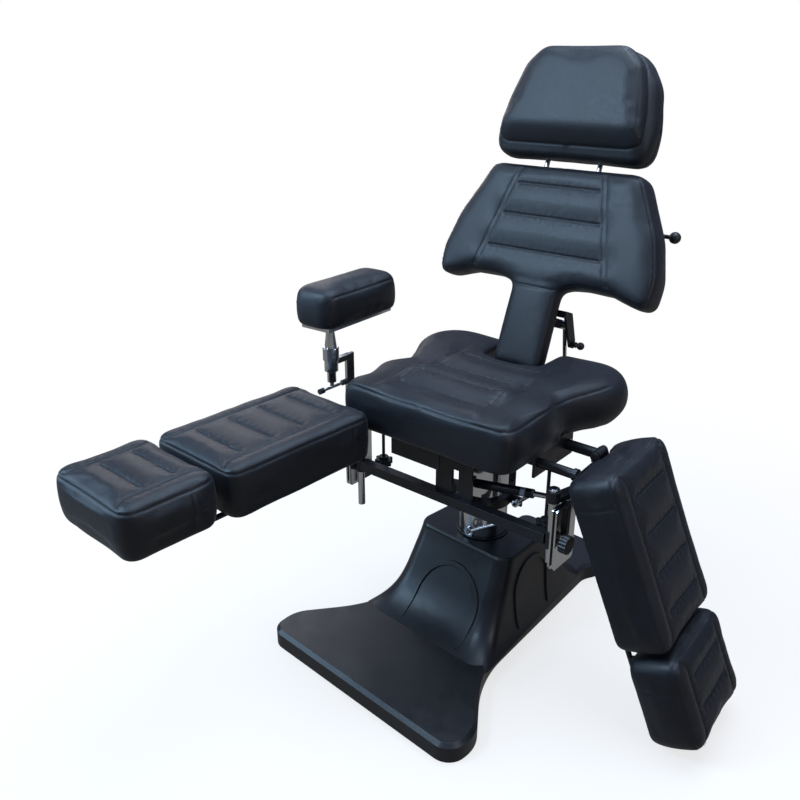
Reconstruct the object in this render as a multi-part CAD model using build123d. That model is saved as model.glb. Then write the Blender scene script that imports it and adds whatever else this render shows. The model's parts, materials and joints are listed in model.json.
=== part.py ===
from build123d import *
from math import cos, radians, sin, tan
import os

os.makedirs("parts", exist_ok=True)

# A reclining client chair on a moulded base: lift column, swivelling seat, leaning back with a
# sliding headrest, one armrest and two separately swung leg rests. Millimetres and degrees.
# +X is the seated person's left, -Y the front, +Z up; the column's axis is X = Y = 0.

# Driving sizes.
seat_top = 689.0  # sitting surface over the floor
seat_bottom = 595.0
seat_skirt = 575.0
back_lean = 21.1  # back's lean from upright at rest
base_top = 253.0
base_turn = -3.6  # base turned under the seat at rest
running_gap = 0.05  # radial clearance of a turning or sliding fit
body_gap = 0.5  # air between two bodies that pass each other
clearance = 0.3

# Base.
plate_height = 47.0
plate_bevel = 9.0
wall = 4.0
rim_gap = 1.0
column_hole = 61.0
steel_plate = 6.0
front_edge, front_half = 472.0, 299.0
flare_y, flare_half = 388.0, 304.0
waist_y, waist_half = 222.0, 181.0
rear_waist_y, rear_waist_half = 300.0, 133.0
rear_flare_y, rear_flare_half = 372.0, 165.0
rear_edge = 432.0
corner_radius, flare_radius, shoulder_radius = 46.0, 330.0, 90.0
rear_radius, rear_corner = 60.0, 34.0
# hump: height, front edge, front half width, rear edge, rear half width, corner radius
hump_levels = [
    (38.0, 262.0, 206.0, 300.0, 134.0, 46.0),
    (52.0, 228.0, 190.0, 272.0, 136.0, 46.0),
    (80.0, 186.0, 172.0, 235.0, 138.0, 44.0),
    (120.0, 153.0, 161.0, 197.0, 138.0, 42.0),
    (170.0, 126.0, 154.0, 155.0, 138.0, 40.0),
    (215.0, 104.0, 148.0, 112.0, 137.0, 38.0),
    (243.0, 92.0, 145.0, 84.0, 136.0, 36.0),
]
crown_inset, crown_share = 5.0, 0.43
rib_height, rib_width = 4.0, 11.0
front_rib_half, front_rib_top, front_rib_centre = 98.0, 203.0, 12.0
side_rib_half, side_rib_top, side_rib_centre = 78.0, 222.0, 18.0
rib_bottom = 56.0
ring_outer, ring_height = 67.0, 4.0
pump_outer, pump_top, pump_floor = 44.0, 236.0, 12.0
ram_radius = 20.0
sleeve_outer, sleeve_wall, sleeve_bottom, column_top = 60.5, 2.5, 112.0, 468.0
ram_bottom = 62.0
flange_radius, flange_height = 88.0, 8.0
pedal_x, pedal_y, pedal_z, pedal_arm = 60.0, 412.0, 30.0, 100.0
pedal_width, pedal_depth, pedal_height, pedal_bar = 74.0, 46.0, 15.0, 12.0
pedal_pin, pedal_lug, pedal_slot = 6.0, 10.0, 10.0

# Seat frame.
swivel_radius, swivel_height = 96.0, 10.0
pedestal_half, pedestal_wall = 66.0, 6.0
rail_x, rail_width, rail_height = 92.0, 30.0, 43.0
rail_front, rail_rear = 200.0, 118.0
pan_height = 12.0
pan_inset = 44.0
cross_rail_y = 154.0
bar_size, bar_y, bar_bottom, bar_wall = 25.0, 154.0, 392.0, 2.0
post_x, post_radius, sleeve_radius = 280.0, 9.0, 12.0
sleeve_low, sleeve_high = 384.0, 427.0
post_top, post_low_left, post_low_right = 531.0, 287.0, 348.0
collar_z, collar_height, collar_radius = 493.0, 4.8, 12.0
bracket_left, bracket_right = -37.0, 68.0
slit_left, slit_right, slit_low, slit_length = 10.5, 30.0, 422.0, 64.0
sheet = 6.0
apron_left, apron_right, apron_low, apron_sheet = -134.0, 10.0, 500.0, 3.0
end_plate_inner, end_plate_gap, end_plate_sheet = 292.7, 6.0, 4.0
end_plate_front, end_plate_depth, end_plate_low, end_plate_high = 182.0, 84.0, 345.0, 495.0
end_plate_corner, end_hole, end_screw = 9.0, 5.0, 4.5
clamp_bar_y, clamp_bar_width, clamp_bar_low, clamp_bar_high = 142.0, 17.0, 420.0, 492.0
clamp_bar_sheet = 7.0
receiver_y, receiver_z, receiver_outer = 110.0, 552.0, 11.0
receiver_bore, receiver_inner_x, receiver_outer_x = 7.0, 150.0, 309.0
nut_radius, nut_length = 14.0, 9.0
cross_tube_y, cross_tube_outer, cross_tube_x = 11.0, 12.5, 292.0
hanger_x, hanger_sheet = 208.0, 6.0
hanger_front, hanger_rear, hanger_low = 128.0, 38.0, 520.0
spring_start, spring_end = (42.0, -101.0, 437.0), (287.0, -84.0, 471.0)
spring_radius, spring_rod, spring_share = 11.0, 6.0, 0.62
spring_eye, spring_pin, spring_ball = 12.0, 5.0, 8.0
brake_low, brake_high, brake_outer = 342.0, 366.0, 71.0
brake_strap_width, brake_strap_sheet, brake_ear = 30.0, 5.0, 18.0
brake_turns = (75.0, 195.0)
brake_web_x, brake_web_y = 36.0, 48.0

# Levers and knobs.
lever_radius, lever_bend = 5.0, 14.0
lever_eye_outer, lever_eye_inner, lever_eye_half = 12.0, 7.0, 4.4
brake_lever_points = [(24.0, -84.0, 290.0), (100.0, -84.0, 340.0), (120.0, -84.0, 354.0)]
lock_lever_points = [(92.0, 6.0, 354.0), (141.0, 6.0, 400.0), (236.0, 6.0, 416.0)]
lever_boss, lever_boss_length, lever_pin = 9.0, 16.0, 4.0
knob_x, knob_y, knob_z, knob_radius, knob_height = 241.0, 110.0, 399.0, 24.0, 15.0
knob_lobes, knob_lobe_radius, knob_stem = 6, 5.5, 4.0
full_turn = 360.0
side_knob_z, side_knob_y, side_knob_radius, side_knob_length = 414.0, 165.0, 21.0, 18.0
side_knob_gap = 8.0

# Back.
back_foot_y, back_foot_z = 101.8, 676.6
pivot_y, pivot_z, pivot_radius = 140.0, 600.0, 7.0
pivot_half = 62.0
# outline of the padded back: half width, distance up the back, corner radius
back_points = [
    (70.0, -22.0, 14.0),
    (70.0, 187.0, 12.0),
    (116.0, 199.0, 30.0),
    (200.0, 199.0, 60.0),
    (301.0, 174.0, 26.0),
    (306.0, 255.0, 70.0),
    (280.0, 350.0, 110.0),
    (206.0, 493.0, 34.0),
]
# padding levels: share of the depth from the rear, inset from the widest outline
pad_levels = [(0.0, 14.0), (0.06, 5.0), (0.2, 0.6), (0.5, 0.0), (0.8, 2.0), (0.9, 5.0),
              (0.925, 8.0), (0.95, 10.0), (0.985, 20.0), (1.0, 38.0)]
wing_depth, stem_depth = 95.0, 58.0
stem_top = 214.0
back_ribs = [275.0, 359.0, 436.0]
back_rib_low, back_rib_high, rib_taper_low, rib_taper_high = 211.0, 487.0, 187.0, 112.0
groove_depth, groove_width = 3.0, 4.0
frame_front, frame_sheet, frame_half = 62.0, 8.0, 44.0
frame_low, frame_high = -30.0, 430.0
recess_half, recess_low, recess_high = 96.0, 170.0, 505.0
arm_sheet, arm_x, arm_radius = 8.0, 40.0, 17.0
guide_x, guide_outer, guide_low, guide_high = 72.0, 10.0, 250.0, 470.0
rod_radius, rod_low = 6.0, 262.0
guide_strap, guide_strap_width = 3.0, 20.0
head_points = [(214.0, 498.0, 44.0), (213.0, 590.0, 60.0), (190.0, 690.0, 60.0), (150.0, 750.0, 40.0), (110.0, 768.0, 30.0)]
head_rear, head_split, head_front = -78.0, 6.0, 42.0
head_face = [(197.0, 528.0, 24.0), (181.0, 640.0, 50.0), (157.0, 722.0, 46.0), (112.0, 768.0, 34.0)]
head_levels = [(0.0, 16.0), (0.1, 5.0), (0.3, 0.5), (0.6, 0.0), (0.86, 3.0), (0.94, 8.0), (1.0, 12.0)]
face_levels = [(0.0, 10.0), (0.2, 3.0), (0.45, 0.5), (0.7, 2.0), (0.85, 5.0), (0.94, 9.0), (1.0, 18.0)]
head_bevel, head_lean = 573.0, 30.0
head_socket, head_rod_top = 640.0, 630.0
head_lock_v, head_lock_n, head_lock_x = 372.0, 126.0, 262.0
head_knob_radius, head_bracket = 14.0, 10.0
strut_x, strut_top, strut_foot = 62.0, (237.0, 751.0), (275.0, 470.0)
strut_radius, strut_rod, strut_share, strut_eye, strut_eye_width = 10.0, 5.0, 0.56, 11.0, 12.0
strut_pin, strut_neck, strut_rod_share = 5.0, 30.0, 0.515
release_y, release_z, release_length, ball_radius = 252.0, 700.0, 34.0, 10.0
release_x, release_rod, release_hub = 86.0, 4.0, 5.2
release_arm_x, release_arm_low, release_arm_high, release_arm_deep = 74.0, 134.0, 150.0, 28.0

# Seat cushion.
# station: Y, half width, side height, bottom, shoulder half, shoulder height, centre height
seat_stations = [
    (-274.0, 214.0, 640.0, 590.0, 196.0, 668.0, 669.0),
    (-270.0, 224.0, 640.0, 582.0, 206.0, 676.0, 677.0),
    (-262.0, 231.0, 640.0, 577.0, 211.0, 682.0, 683.0),
    (-235.0, 238.0, 640.0, 575.0, 213.0, 687.0, 688.0),
    (-170.0, 236.0, 640.0, 575.0, 207.0, 689.0, 689.0),
    (-66.0, 232.0, 642.0, 575.0, 196.0, 690.0, 689.0),
    (-10.0, 240.0, 644.0, 575.0, 189.0, 691.0, 689.0),
    (45.0, 268.0, 645.0, 575.0, 186.0, 694.0, 689.0),
    (95.0, 292.0, 646.0, 575.0, 182.0, 696.0, 689.0),
    (135.0, 295.0, 646.0, 576.0, 177.0, 697.0, 690.0),
    (180.0, 277.0, 646.0, 580.0, 168.0, 694.0, 690.0),
    (212.0, 241.0, 648.0, 590.0, 156.0, 685.0, 684.0),
    (230.0, 197.0, 650.0, 606.0, 146.0, 670.0, 668.0),
]
seat_low_share, seat_high_share, seat_round = 0.86, 0.92, 24.0
notch_half, notch_front, notch_corner = 80.0, 84.0, 22.0
panel_half, panel_front, panel_rear = 124.5, 187.0, 80.0
seat_ribs = [-124.0, -37.0, 47.0]

# Leg rests.
pad_half, pad_length, pad_depth = 142.0, 404.0, 107.0
foot_half, foot_gap, foot_length = 136.0, 10.0, 217.0
foot_start = pad_length + foot_gap
foot_end = foot_start + foot_length
foot_rise = 8.0
pad_corner, foot_corner = 34.0, 36.0
calf_rib_shares, foot_rib_shares = [0.18, 0.39, 0.6, 0.81], [0.3, 0.63]
calf_panel, foot_panel = 90.0, 86.0
rib_margin = 30.0
arm_length, arm_low, arm_high, arm_width = 131.7, 498.0, 510.0, 26.0
head_high = 524.0
boss_radius, boss_low = 15.0, 468.0
riser_radius, riser_low, riser_high, riser_pin, riser_pin_top = 8.0, 424.0, 512.0, 6.0, 522.0
yoke_low, yoke_depth, yoke_width, yoke_round = 512.3, 20.0, 32.0, 10.5
hinge_back, hinge_drop, hinge_offset = 5.0, 118.0, 38.5
hinge_pin, hinge_pin_half, hinge_seat = 5.0, 27.0, 2.3
knuckle_round, knuckle_sheet, knuckle_gap = 9.0, 8.0, 1.0
leg_sheet, leg_board, board_inset, board_start = 4.0, 12.0, 32.0, 74.0
leg_notch, plate_half, plate_short = 19.0, 78.0, 32.0
plate_end = pad_length - plate_short
foot_rod_x, foot_rod_radius, foot_rod_start, foot_sleeve, foot_sleeve_sink = 64.0, 6.0, 150.0, 10.0, 1.5
foot_sleeve_low, foot_sleeve_high = 250.0, 360.0
foot_board_inset = 30.0
left_swing, left_turn, left_drop, left_rise, left_slide = 0.74, 1.16, 0.0, 0.0, 0.0
right_swing, right_turn, right_drop, right_rise, right_slide = 165.67, -72.87, 66.7, 44.7, -4.0

# Armrest, on the seated person's right.
arm_pad_x, arm_pad_y, arm_pad_turn = -330.6, -135.8, 3.0
arm_pad_long, arm_pad_wide, arm_pad_high, arm_pad_bottom = 266.0, 118.0, 89.0, 789.3
arm_board = 10.0
arm_levels = [(0.0, 8.0), (0.08, 2.0), (0.3, 0.0), (0.6, 0.6), (0.8, 3.0), (0.9, 8.0), (0.96, 15.0), (1.0, 28.0)]
arm_post_y, neck_low, collar_low, cylinder_low, socket_low = -198.0, 722.0, 690.0, 661.0, 632.0
arm_post_x = -331.0
neck_foot, neck_top, neck_ball, collar_r, cylinder_r = 15.0, 8.0, 13.0, 20.0, 17.0
socket_r, clamp_screw_r = 7.0, 5.0
flat_bar_y, flat_bar_w, flat_bar_t = -134.0, 26.0, 8.0
link_z, link_h, link_w = 682.0, 14.0, 14.0
tee_z, tee_front, tee_rear, tee_r, tee_tip, tee_tip_r = 617.0, -228.0, -163.0, 4.0, 14.0, 7.0
inner_bar_end = -176.0


def span(x0, x1, y0, y1, z0, z1):
    """Box between six limits."""
    middle = Pos((x0 + x1) / 2, (y0 + y1) / 2, (z0 + z1) / 2)
    return middle * Box(abs(x1 - x0), abs(y1 - y0), abs(z1 - z0))


def rod(start, end, radius):
    """Solid cylinder from one point to another."""
    a, b = Vector(*start), Vector(*end)
    return Plane(origin=a, z_dir=b - a) * extrude(Circle(radius), (b - a).length)


def pipe(start, end, outer, inner):
    """Hollow cylinder from one point to another."""
    return rod(start, end, outer) - rod(start, end, inner)


def disc(radius, low, high, x=0, y=0):
    """Upright cylinder."""
    return rod((x, y, low), (x, y, high), radius)


def ring(outer, inner, low, high, x=0, y=0):
    """Upright tube."""
    return pipe((x, y, low), (x, y, high), outer, inner)


def bent_rod(points, radius, bend):
    """Round bar along a polyline with rounded bends."""
    path = FilletPolyline(*points, radius=bend)
    start = Plane(origin=path @ 0, z_dir=path % 0)
    return sweep(start * Circle(radius), path=path)


def inset_corners(points, inset):
    """A closed polygon's corners moved inwards by the inset; the polygon runs anticlockwise."""
    corners = []
    for i, here in enumerate(points):
        before, after = points[i - 1], points[(i + 1) % len(points)]
        into = Vector(here[0] - before[0], here[1] - before[1]).normalized()
        out = Vector(after[0] - here[0], after[1] - here[1]).normalized()
        side_in, side_out = Vector(-into.Y, into.X), Vector(-out.Y, out.X)
        share = inset / (1 + side_in.dot(side_out))
        corners.append((Vector(here[0], here[1]) + (side_in + side_out) * share, into, out))
    return corners


def soft_outline(points, inset=0, least=3.0):
    """Face of a polygon with its own radius at every corner, inset on all sides."""
    pieces = []
    for (corner, into, out), point in zip(inset_corners(points, inset), points):
        turn = into.get_signed_angle(out, Vector(0, 0, 1))
        radius = max(point[2] - inset, least) if turn > 0 else point[2] + inset
        cut = radius * tan(radians(abs(turn)) / 2)
        start, end = corner - into * cut, corner + out * cut
        bisector = (out - into).normalized()
        middle = corner + bisector * (radius / cos(radians(turn) / 2) - radius)
        pieces.append((start, middle, end))
    edges = []
    for i, (start, middle, end) in enumerate(pieces):
        edges.append(ThreePointArc(start, middle, end))
        edges.append(Line(end, pieces[(i + 1) % len(pieces)][0]))
    return make_face(edges)


def mirrored(points):
    """Right half of an outline, listed upwards, closed with its mirror image."""
    return list(points) + [(-x, y, r) for x, y, r in reversed(points)]


def padded(points, depth, levels):
    """Upholstered block: outlines stacked from the rear (Z = 0) to the face (Z = depth)."""
    sections = [Pos(0, 0, share * depth) * soft_outline(points, inset) for share, inset in levels]
    return loft(sections, ruled=True)


def groove(start, end, depth, width, plane_z):
    """Channel of a seam between two plan points, cut down from the plane."""
    a, b = Vector(start[0], start[1], plane_z - depth), Vector(end[0], end[1], plane_z - depth)
    frame = Plane(origin=a, x_dir=b - a, z_dir=Vector(0, 0, 1))
    return frame * (Pos((b - a).length / 2, 0, depth) * Box((b - a).length, width, depth + depth))


# Base parts.
def base_outline(inset):
    """Plan of the moulded cover: a wide front plate flaring out of a narrow body."""
    right = [
        (front_half, -front_edge, corner_radius),
        (flare_half, -flare_y, shoulder_radius),
        (waist_half, -waist_y, flare_radius),
        (rear_waist_half, rear_waist_y, rear_radius),
        (rear_flare_half, rear_flare_y, rear_radius),
        (rear_flare_half, rear_edge, rear_corner),
    ]
    return soft_outline(mirrored(right), inset)


def hump(grow):
    """Body that rises from the plate to the column; grow thickens it all round."""
    sections = []
    for height, front, front_w, rear, rear_w, radius in hump_levels:
        right = [(front_w + grow, -front - grow, radius + grow), (rear_w + grow, rear + grow, radius + grow)]
        sections.append(Pos(0, 0, height) * soft_outline(mirrored(right)))
    body = loft(sections)
    top, _, _, _, _, top_radius = hump_levels[-1]
    cap_base = [(hump_levels[-1][2] + grow, -hump_levels[-1][1] - grow, top_radius + grow),
                (hump_levels[-1][4] + grow, hump_levels[-1][3] + grow, top_radius + grow)]
    cap_mid = Pos(0, 0, top + (base_top - top) * crown_share) * soft_outline(mirrored(cap_base), rim_gap)
    cap_top = Pos(0, 0, base_top + min(grow, 0)) * soft_outline(mirrored(cap_base), crown_inset)
    cap = loft([Pos(0, 0, top) * soft_outline(mirrored(cap_base)), cap_mid, cap_top], ruled=True)
    return body + cap


def arch_band(half, top, centre, low):
    """Upside-down U in the XZ plane, as a face."""
    outer = Pos(centre, top - half) * Circle(half) + span_face(centre - half, centre + half, low, top - half)
    thin = half - rib_width
    inner = Pos(centre, top - half) * Circle(thin) + span_face(centre - thin, centre + thin, low - half, top - half)
    return outer - inner


def span_face(x0, x1, y0, y1):
    """Rectangle between four limits."""
    return Pos((x0 + x1) / 2, (y0 + y1) / 2) * Rectangle(x1 - x0, y1 - y0)


def base_cover():
    """Moulded shell with raised arches on its front and side walls."""
    plate = extrude(base_outline(0), plate_height)
    plate = chamfer(plate.edges().group_by(Axis.Z)[-1], plate_bevel)
    body = plate + hump(0)
    front = Plane.XZ * arch_band(front_rib_half, front_rib_top, front_rib_centre, rib_bottom)
    side = Plane.YZ * arch_band(side_rib_half, side_rib_top, side_rib_centre, rib_bottom)
    thick = hump(rib_height)
    body += thick & extrude(front, front_edge)
    body += thick & extrude(side, front_edge, both=True)
    inner = extrude(base_outline(wall + wall), plate_height - wall) + hump(-wall)
    body = body - inner - disc(column_hole, plate_height, base_top + wall)
    body = body - span(-front_edge, front_edge, -rear_edge - front_edge, rear_edge, 0, rim_gap)
    slot = span(pedal_x - pedal_slot, pedal_x + pedal_slot, rear_edge - corner_radius, rear_edge + wall,
                0, plate_height - wall)
    return body - slot


def base_plate():
    """Steel floor plate inside the cover, with lugs for the pedal's pin."""
    plate = extrude(base_outline(wall + wall + rim_gap), steel_plate)
    near = pedal_y
    for side in (-1, 1):
        x = pedal_x + side * (pedal_slot - rim_gap)
        outer = x + side * sheet
        plate += span(x, outer, near - pedal_lug, near + pedal_lug, 0, pedal_z + pedal_lug)
    pin = rod((pedal_x - pedal_slot - sheet, near, pedal_z), (pedal_x + pedal_slot + sheet, near, pedal_z),
              pedal_pin - running_gap)
    return plate + pin


def pump_pedal():
    """Foot lever of the lift pump with its tread."""
    near = pedal_y
    far = near + pedal_arm
    low = pedal_z - pedal_bar / 2
    arm = span(pedal_x - pedal_bar / 2, pedal_x + pedal_bar / 2, near, far, low, low + pedal_bar)
    arm += rod((pedal_x - pedal_bar / 2, near, pedal_z), (pedal_x + pedal_bar / 2, near, pedal_z), pedal_lug)
    arm -= rod((pedal_x - pedal_bar, near, pedal_z), (pedal_x + pedal_bar, near, pedal_z), pedal_pin)
    tread_low = low + pedal_bar
    tread = span(pedal_x - pedal_width / 2, pedal_x + pedal_width / 2, far - pedal_depth, far,
                 tread_low, tread_low + pedal_height)
    return arm + fillet(tread.edges().filter_by(Axis.Z), pedal_lug)


def base_body():
    turn = Rot(0, 0, base_turn)
    floor = steel_plate
    pump = ring(pump_outer, ram_radius + running_gap, floor, pump_top)
    pump += disc(flange_radius, floor, pump_floor) - disc(ram_radius + running_gap, 0, pump_top)
    collar = ring(ring_outer, column_hole, base_top, base_top + ring_height)
    collar = chamfer(collar.edges().group_by(Axis.Z)[-1], rim_gap)
    return {
        "base_cover": turn * base_cover(),
        "base_plate": turn * base_plate(),
        "column_ring": collar,
        "pump_cylinder": pump,
        "pump_pedal": turn * pump_pedal(),
    }


def lift_body():
    sleeve = ring(sleeve_outer, sleeve_outer - sleeve_wall, sleeve_bottom, column_top)
    ram = disc(ram_radius, ram_bottom, column_top)
    ram += disc(flange_radius, column_top, column_top + flange_height)
    return {"column_sleeve": sleeve, "pump_ram": ram}


# Seat frame parts.
def seat_pan():
    """Plywood board under the seat cushion, open at the rear for the back's stem."""
    board = extrude(seat_plan(pan_inset), pan_height)
    board -= span(-notch_half, notch_half, notch_front, rear_edge, -pan_height, pan_height + pan_height)
    return Pos(0, 0, seat_bottom - pan_height) * board


def seat_plan(inset):
    """Plan of the seat set in from its front and sides, at its front corner, waist and wings."""
    right = [(seat_stations[i][1] - inset, seat_stations[i][0]) for i in (3, 5, 8, 9, 11)]
    right[0] = (right[0][0], seat_stations[0][0] + inset)
    return make_face(Polyline(*right, *[(-x, y) for x, y in reversed(right)], close=True))


def seat_frame():
    """Welded frame under the board: pedestal, two lengthwise rails and three cross rails."""
    top = seat_bottom - pan_height
    low = top - rail_height
    base = column_top + flange_height + running_gap + swivel_height
    outer, thin = pedestal_half, pedestal_half - pedestal_wall
    frame = span(-outer, outer, -outer, outer, base, low + sheet)
    frame -= span(-thin, thin, -thin, thin, base, low)
    frame += span(-rail_x, rail_x, -outer, outer, low, top)
    for y in (-cross_rail_y, -rail_front + bar_size / 2):
        frame += span(-rail_x, rail_x, y - bar_size / 2, y + bar_size / 2, low, top)
    for side in (-1, 1):
        x = side * rail_x
        frame += span(x - rail_width / 2, x + rail_width / 2, -rail_front, rail_rear, low, top)
        x0, x1 = sorted((side * rail_x, side * (hanger_x + hanger_sheet)))
        frame += span(x0, x1, -hanger_front, hanger_rear, top - sheet, top)
        x0, x1 = sorted((side * hanger_x, side * (hanger_x + hanger_sheet)))
        frame += span(x0, x1, -hanger_front, hanger_rear, hanger_low, top)
    for y, radius in ((-receiver_y, receiver_outer), (cross_tube_y, cross_tube_outer)):
        for side in (-1, 1):
            near, far = rail_x + rail_width / 2, hanger_x + nut_radius
            frame -= rod((side * near, y, receiver_z), (side * far, y, receiver_z), radius)
    return frame


def swivel_plate():
    low = column_top + flange_height + running_gap
    return disc(swivel_radius, low, low + swivel_height)


def crossbar():
    """Square tube that carries both leg rests."""
    half = post_x - sleeve_radius + bar_wall
    y0, y1 = -bar_y - bar_size / 2, -bar_y + bar_size / 2
    outer = span(-half, half, y0, y1, bar_bottom, bar_bottom + bar_size)
    inner = span(-half, half, y0 + bar_wall, y1 - bar_wall, bar_bottom + bar_wall,
                 bar_bottom + bar_size - bar_wall)
    bar = outer - inner
    for side in (-1, 1):
        bar += ring(sleeve_radius, post_radius, sleeve_low, sleeve_high, side * post_x, -bar_y)
    return bar


def centre_bracket():
    """Plate with a slit from the cross rail down to the crossbar, and the gas spring's lug."""
    y0 = -bar_y
    low, high = bar_bottom + bar_size, seat_bottom - pan_height - rail_height
    plate = span(bracket_left, bracket_right, y0, y0 + sheet, low, high)
    plate -= span(slit_left, slit_right, y0 - sheet, y0 + sheet + sheet, slit_low, slit_low + slit_length)
    x, y, z = spring_start
    near = x - spring_eye
    return plate + span(near, near + sheet, y0 + sheet, y + spring_eye, z - spring_eye, z + spring_eye)


def apron():
    """Thin steel skirt under the seat's front edge."""
    high = seat_bottom - pan_height
    skirt = span(apron_left, apron_right, -rail_front - apron_sheet, -rail_front, apron_low, high)
    return skirt


def end_plates(side):
    """Two bright plates either side of a dark filler at the crossbar's end."""
    y0, y1 = -end_plate_front, -end_plate_front + end_plate_depth
    x = end_plate_inner
    plates = []
    for start in (x, x + end_plate_sheet + end_plate_gap):
        plate = span(start, start + end_plate_sheet, y0, y1, end_plate_low, end_plate_high)
        plate = fillet(plate.edges().filter_by(Axis.X), end_plate_corner)
        plate -= rod((start - sheet, y1 - sheet - end_hole, end_plate_high - sheet - end_hole),
                     (start + sheet + sheet, y1 - sheet - end_hole, end_plate_high - sheet - end_hole), end_screw)
        plates.append(plate)
    inset = end_plate_corner
    gap = x + end_plate_sheet
    filler = span(gap, gap + end_plate_gap, y0 + inset, y1 - inset, end_plate_low + inset, end_plate_high - inset - end_hole)
    filler += span(post_x, x, -bar_y - sheet, -bar_y + sheet, sleeve_low, sleeve_high) - disc(
        sleeve_radius, sleeve_low, sleeve_high, post_x, -bar_y)
    outer = x + end_plate_sheet + end_plate_gap + end_plate_sheet
    bar_y0 = -clamp_bar_y - clamp_bar_width / 2
    bar = span(outer, outer + clamp_bar_sheet, bar_y0, bar_y0 + clamp_bar_width, clamp_bar_low, clamp_bar_high)
    bar = chamfer(bar.edges().group_by(Axis.X)[-1], rim_gap + rim_gap)
    return [place(shape, side) for shape in (Compound(children=plates), filler, bar)]


def place(shape, side):
    """The shape itself for the +X side, its mirror image for the other."""
    if side > 0:
        return shape
    solids = [mirror(solid, about=Plane.YZ) for solid in shape.solids()]
    return solids[0] if len(solids) == 1 else Compound(children=solids)


def receiver(side):
    """Tube under the seat that takes an armrest's bar."""
    tube = rod((receiver_inner_x, -receiver_y, receiver_z), (receiver_outer_x, -receiver_y, receiver_z), receiver_outer)
    tube += rod((receiver_outer_x - nut_length, -receiver_y, receiver_z),
                (receiver_outer_x, -receiver_y, receiver_z), nut_radius)
    tube -= rod((receiver_inner_x + nut_length, -receiver_y, receiver_z),
                (receiver_outer_x + nut_length, -receiver_y, receiver_z), receiver_bore + running_gap)
    return place(tube, side)


def cross_tube():
    """Tubes behind the receivers, from the rails outwards."""
    tubes = []
    for side in (-1, 1):
        inner = rail_x + rail_width / 2
        tube = pipe((inner, cross_tube_y, receiver_z), (cross_tube_x, cross_tube_y, receiver_z),
                    cross_tube_outer, cross_tube_outer - bar_wall)
        tubes.append(place(tube, side))
    return Compound(children=tubes)


def gas_spring():
    """Stay from the centre bracket to the right-hand end plates."""
    a, b = Vector(*spring_start), Vector(*spring_end)
    middle = a + (b - a) * spring_share
    cylinder = rod(a, middle, spring_radius)
    cylinder += rod(a - Vector(spring_eye - sheet, 0, 0), a, spring_pin)
    piston = rod(middle, b, spring_rod)
    piston += Pos(*spring_end) * Sphere(spring_ball)
    return cylinder, piston


def brake_collar():
    """Split collar round the column, hung from the swivel plate by two straps."""
    bore = sleeve_outer + running_gap
    collar = ring(brake_outer, bore, brake_low, brake_high)
    top = column_top + flange_height + running_gap
    inner = flange_radius + body_gap
    outer = inner + brake_strap_sheet
    half = brake_strap_width / 2
    for turn in brake_turns:
        strap = span(inner, outer, -half, half, brake_low, top)
        strap += span(brake_outer - sheet, outer, -half, half, brake_low, brake_high)
        collar += Rot(0, 0, turn) * strap
    for x, y, z in (brake_lever_points[-1], lock_lever_points[0]):
        far = y + lever_boss_length / 2 + body_gap
        ear = span(x - lever_boss, x + lever_boss, far, far + sheet, z - lever_boss, brake_high)
        tie = span(brake_outer - brake_ear, x + lever_boss, far, far + sheet, brake_low, brake_high)
        collar += ear + tie - disc(bore, brake_low - lever_boss, brake_high)
        collar += rod((x, y - lever_boss_length / 2 - rim_gap, z), (x, far + sheet / 2, z), lever_pin)
    web_y = brake_lever_points[-1][1] + lever_boss_length / 2 + body_gap
    web = span(brake_web_x, brake_web_x + brake_ear, web_y, -brake_web_y, brake_low, brake_high)
    return collar + (web - disc(bore, brake_low - lever_boss, brake_high))


def levers():
    """Swivel-brake lever with a ring eye, and the bent lock lever."""
    x, y, z = brake_lever_points[-1]
    brake = bent_rod(brake_lever_points, lever_radius, lever_bend)
    brake += rod((x, y - lever_boss_length / 2, z), (x, y + lever_boss_length / 2, z), lever_boss)
    ex, ey, ez = brake_lever_points[0]
    direction = (Vector(*brake_lever_points[1]) - Vector(ex, ey, ez)).normalized()
    eye = Vector(ex, ey, ez) - direction * (lever_eye_outer - lever_radius + rim_gap)
    brake -= rod((x, y - lever_boss_length, z), (x, y + lever_boss_length, z), lever_pin + running_gap)
    brake += pipe(eye - Vector(0, lever_eye_half, 0), eye + Vector(0, lever_eye_half, 0), lever_eye_outer, lever_eye_inner)
    x, y, z = lock_lever_points[0]
    lock = bent_rod(lock_lever_points, lever_radius, lever_bend)
    lock += rod((x, y - lever_boss_length / 2, z), (x, y + lever_boss_length / 2, z), lever_boss)
    lock -= rod((x, y - lever_boss_length, z), (x, y + lever_boss_length, z), lever_pin + running_gap)
    return brake, lock


def star_knob(lobes, radius, height, lobe):
    """Round grip with lobes, its axis along Z from 0 upwards."""
    body = Cylinder(radius - lobe, height, align=(Align.CENTER, Align.CENTER, Align.MIN))
    for i in range(lobes):
        angle = i * full_turn / lobes
        x, y = (radius - lobe) * cos(radians(angle)), (radius - lobe) * sin(radians(angle))
        body += disc(lobe, 0, height, x, y)
    return body


def receiver_knob(side):
    """Star knob whose long stem rises to the receiver tube."""
    knob = star_knob(knob_lobes, knob_radius, knob_height, knob_lobe_radius)
    knob = Pos(knob_x, -knob_y, knob_z) * knob
    dome = knob_z + knob_height
    stem_end = receiver_z - receiver_outer - clearance
    knob += disc(knob_radius / 2, dome, dome + knob_height / 2, knob_x, -knob_y)
    stem = disc(knob_stem, dome + knob_height / 2, stem_end, knob_x, -knob_y)
    return place(knob + stem, side)


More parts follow.
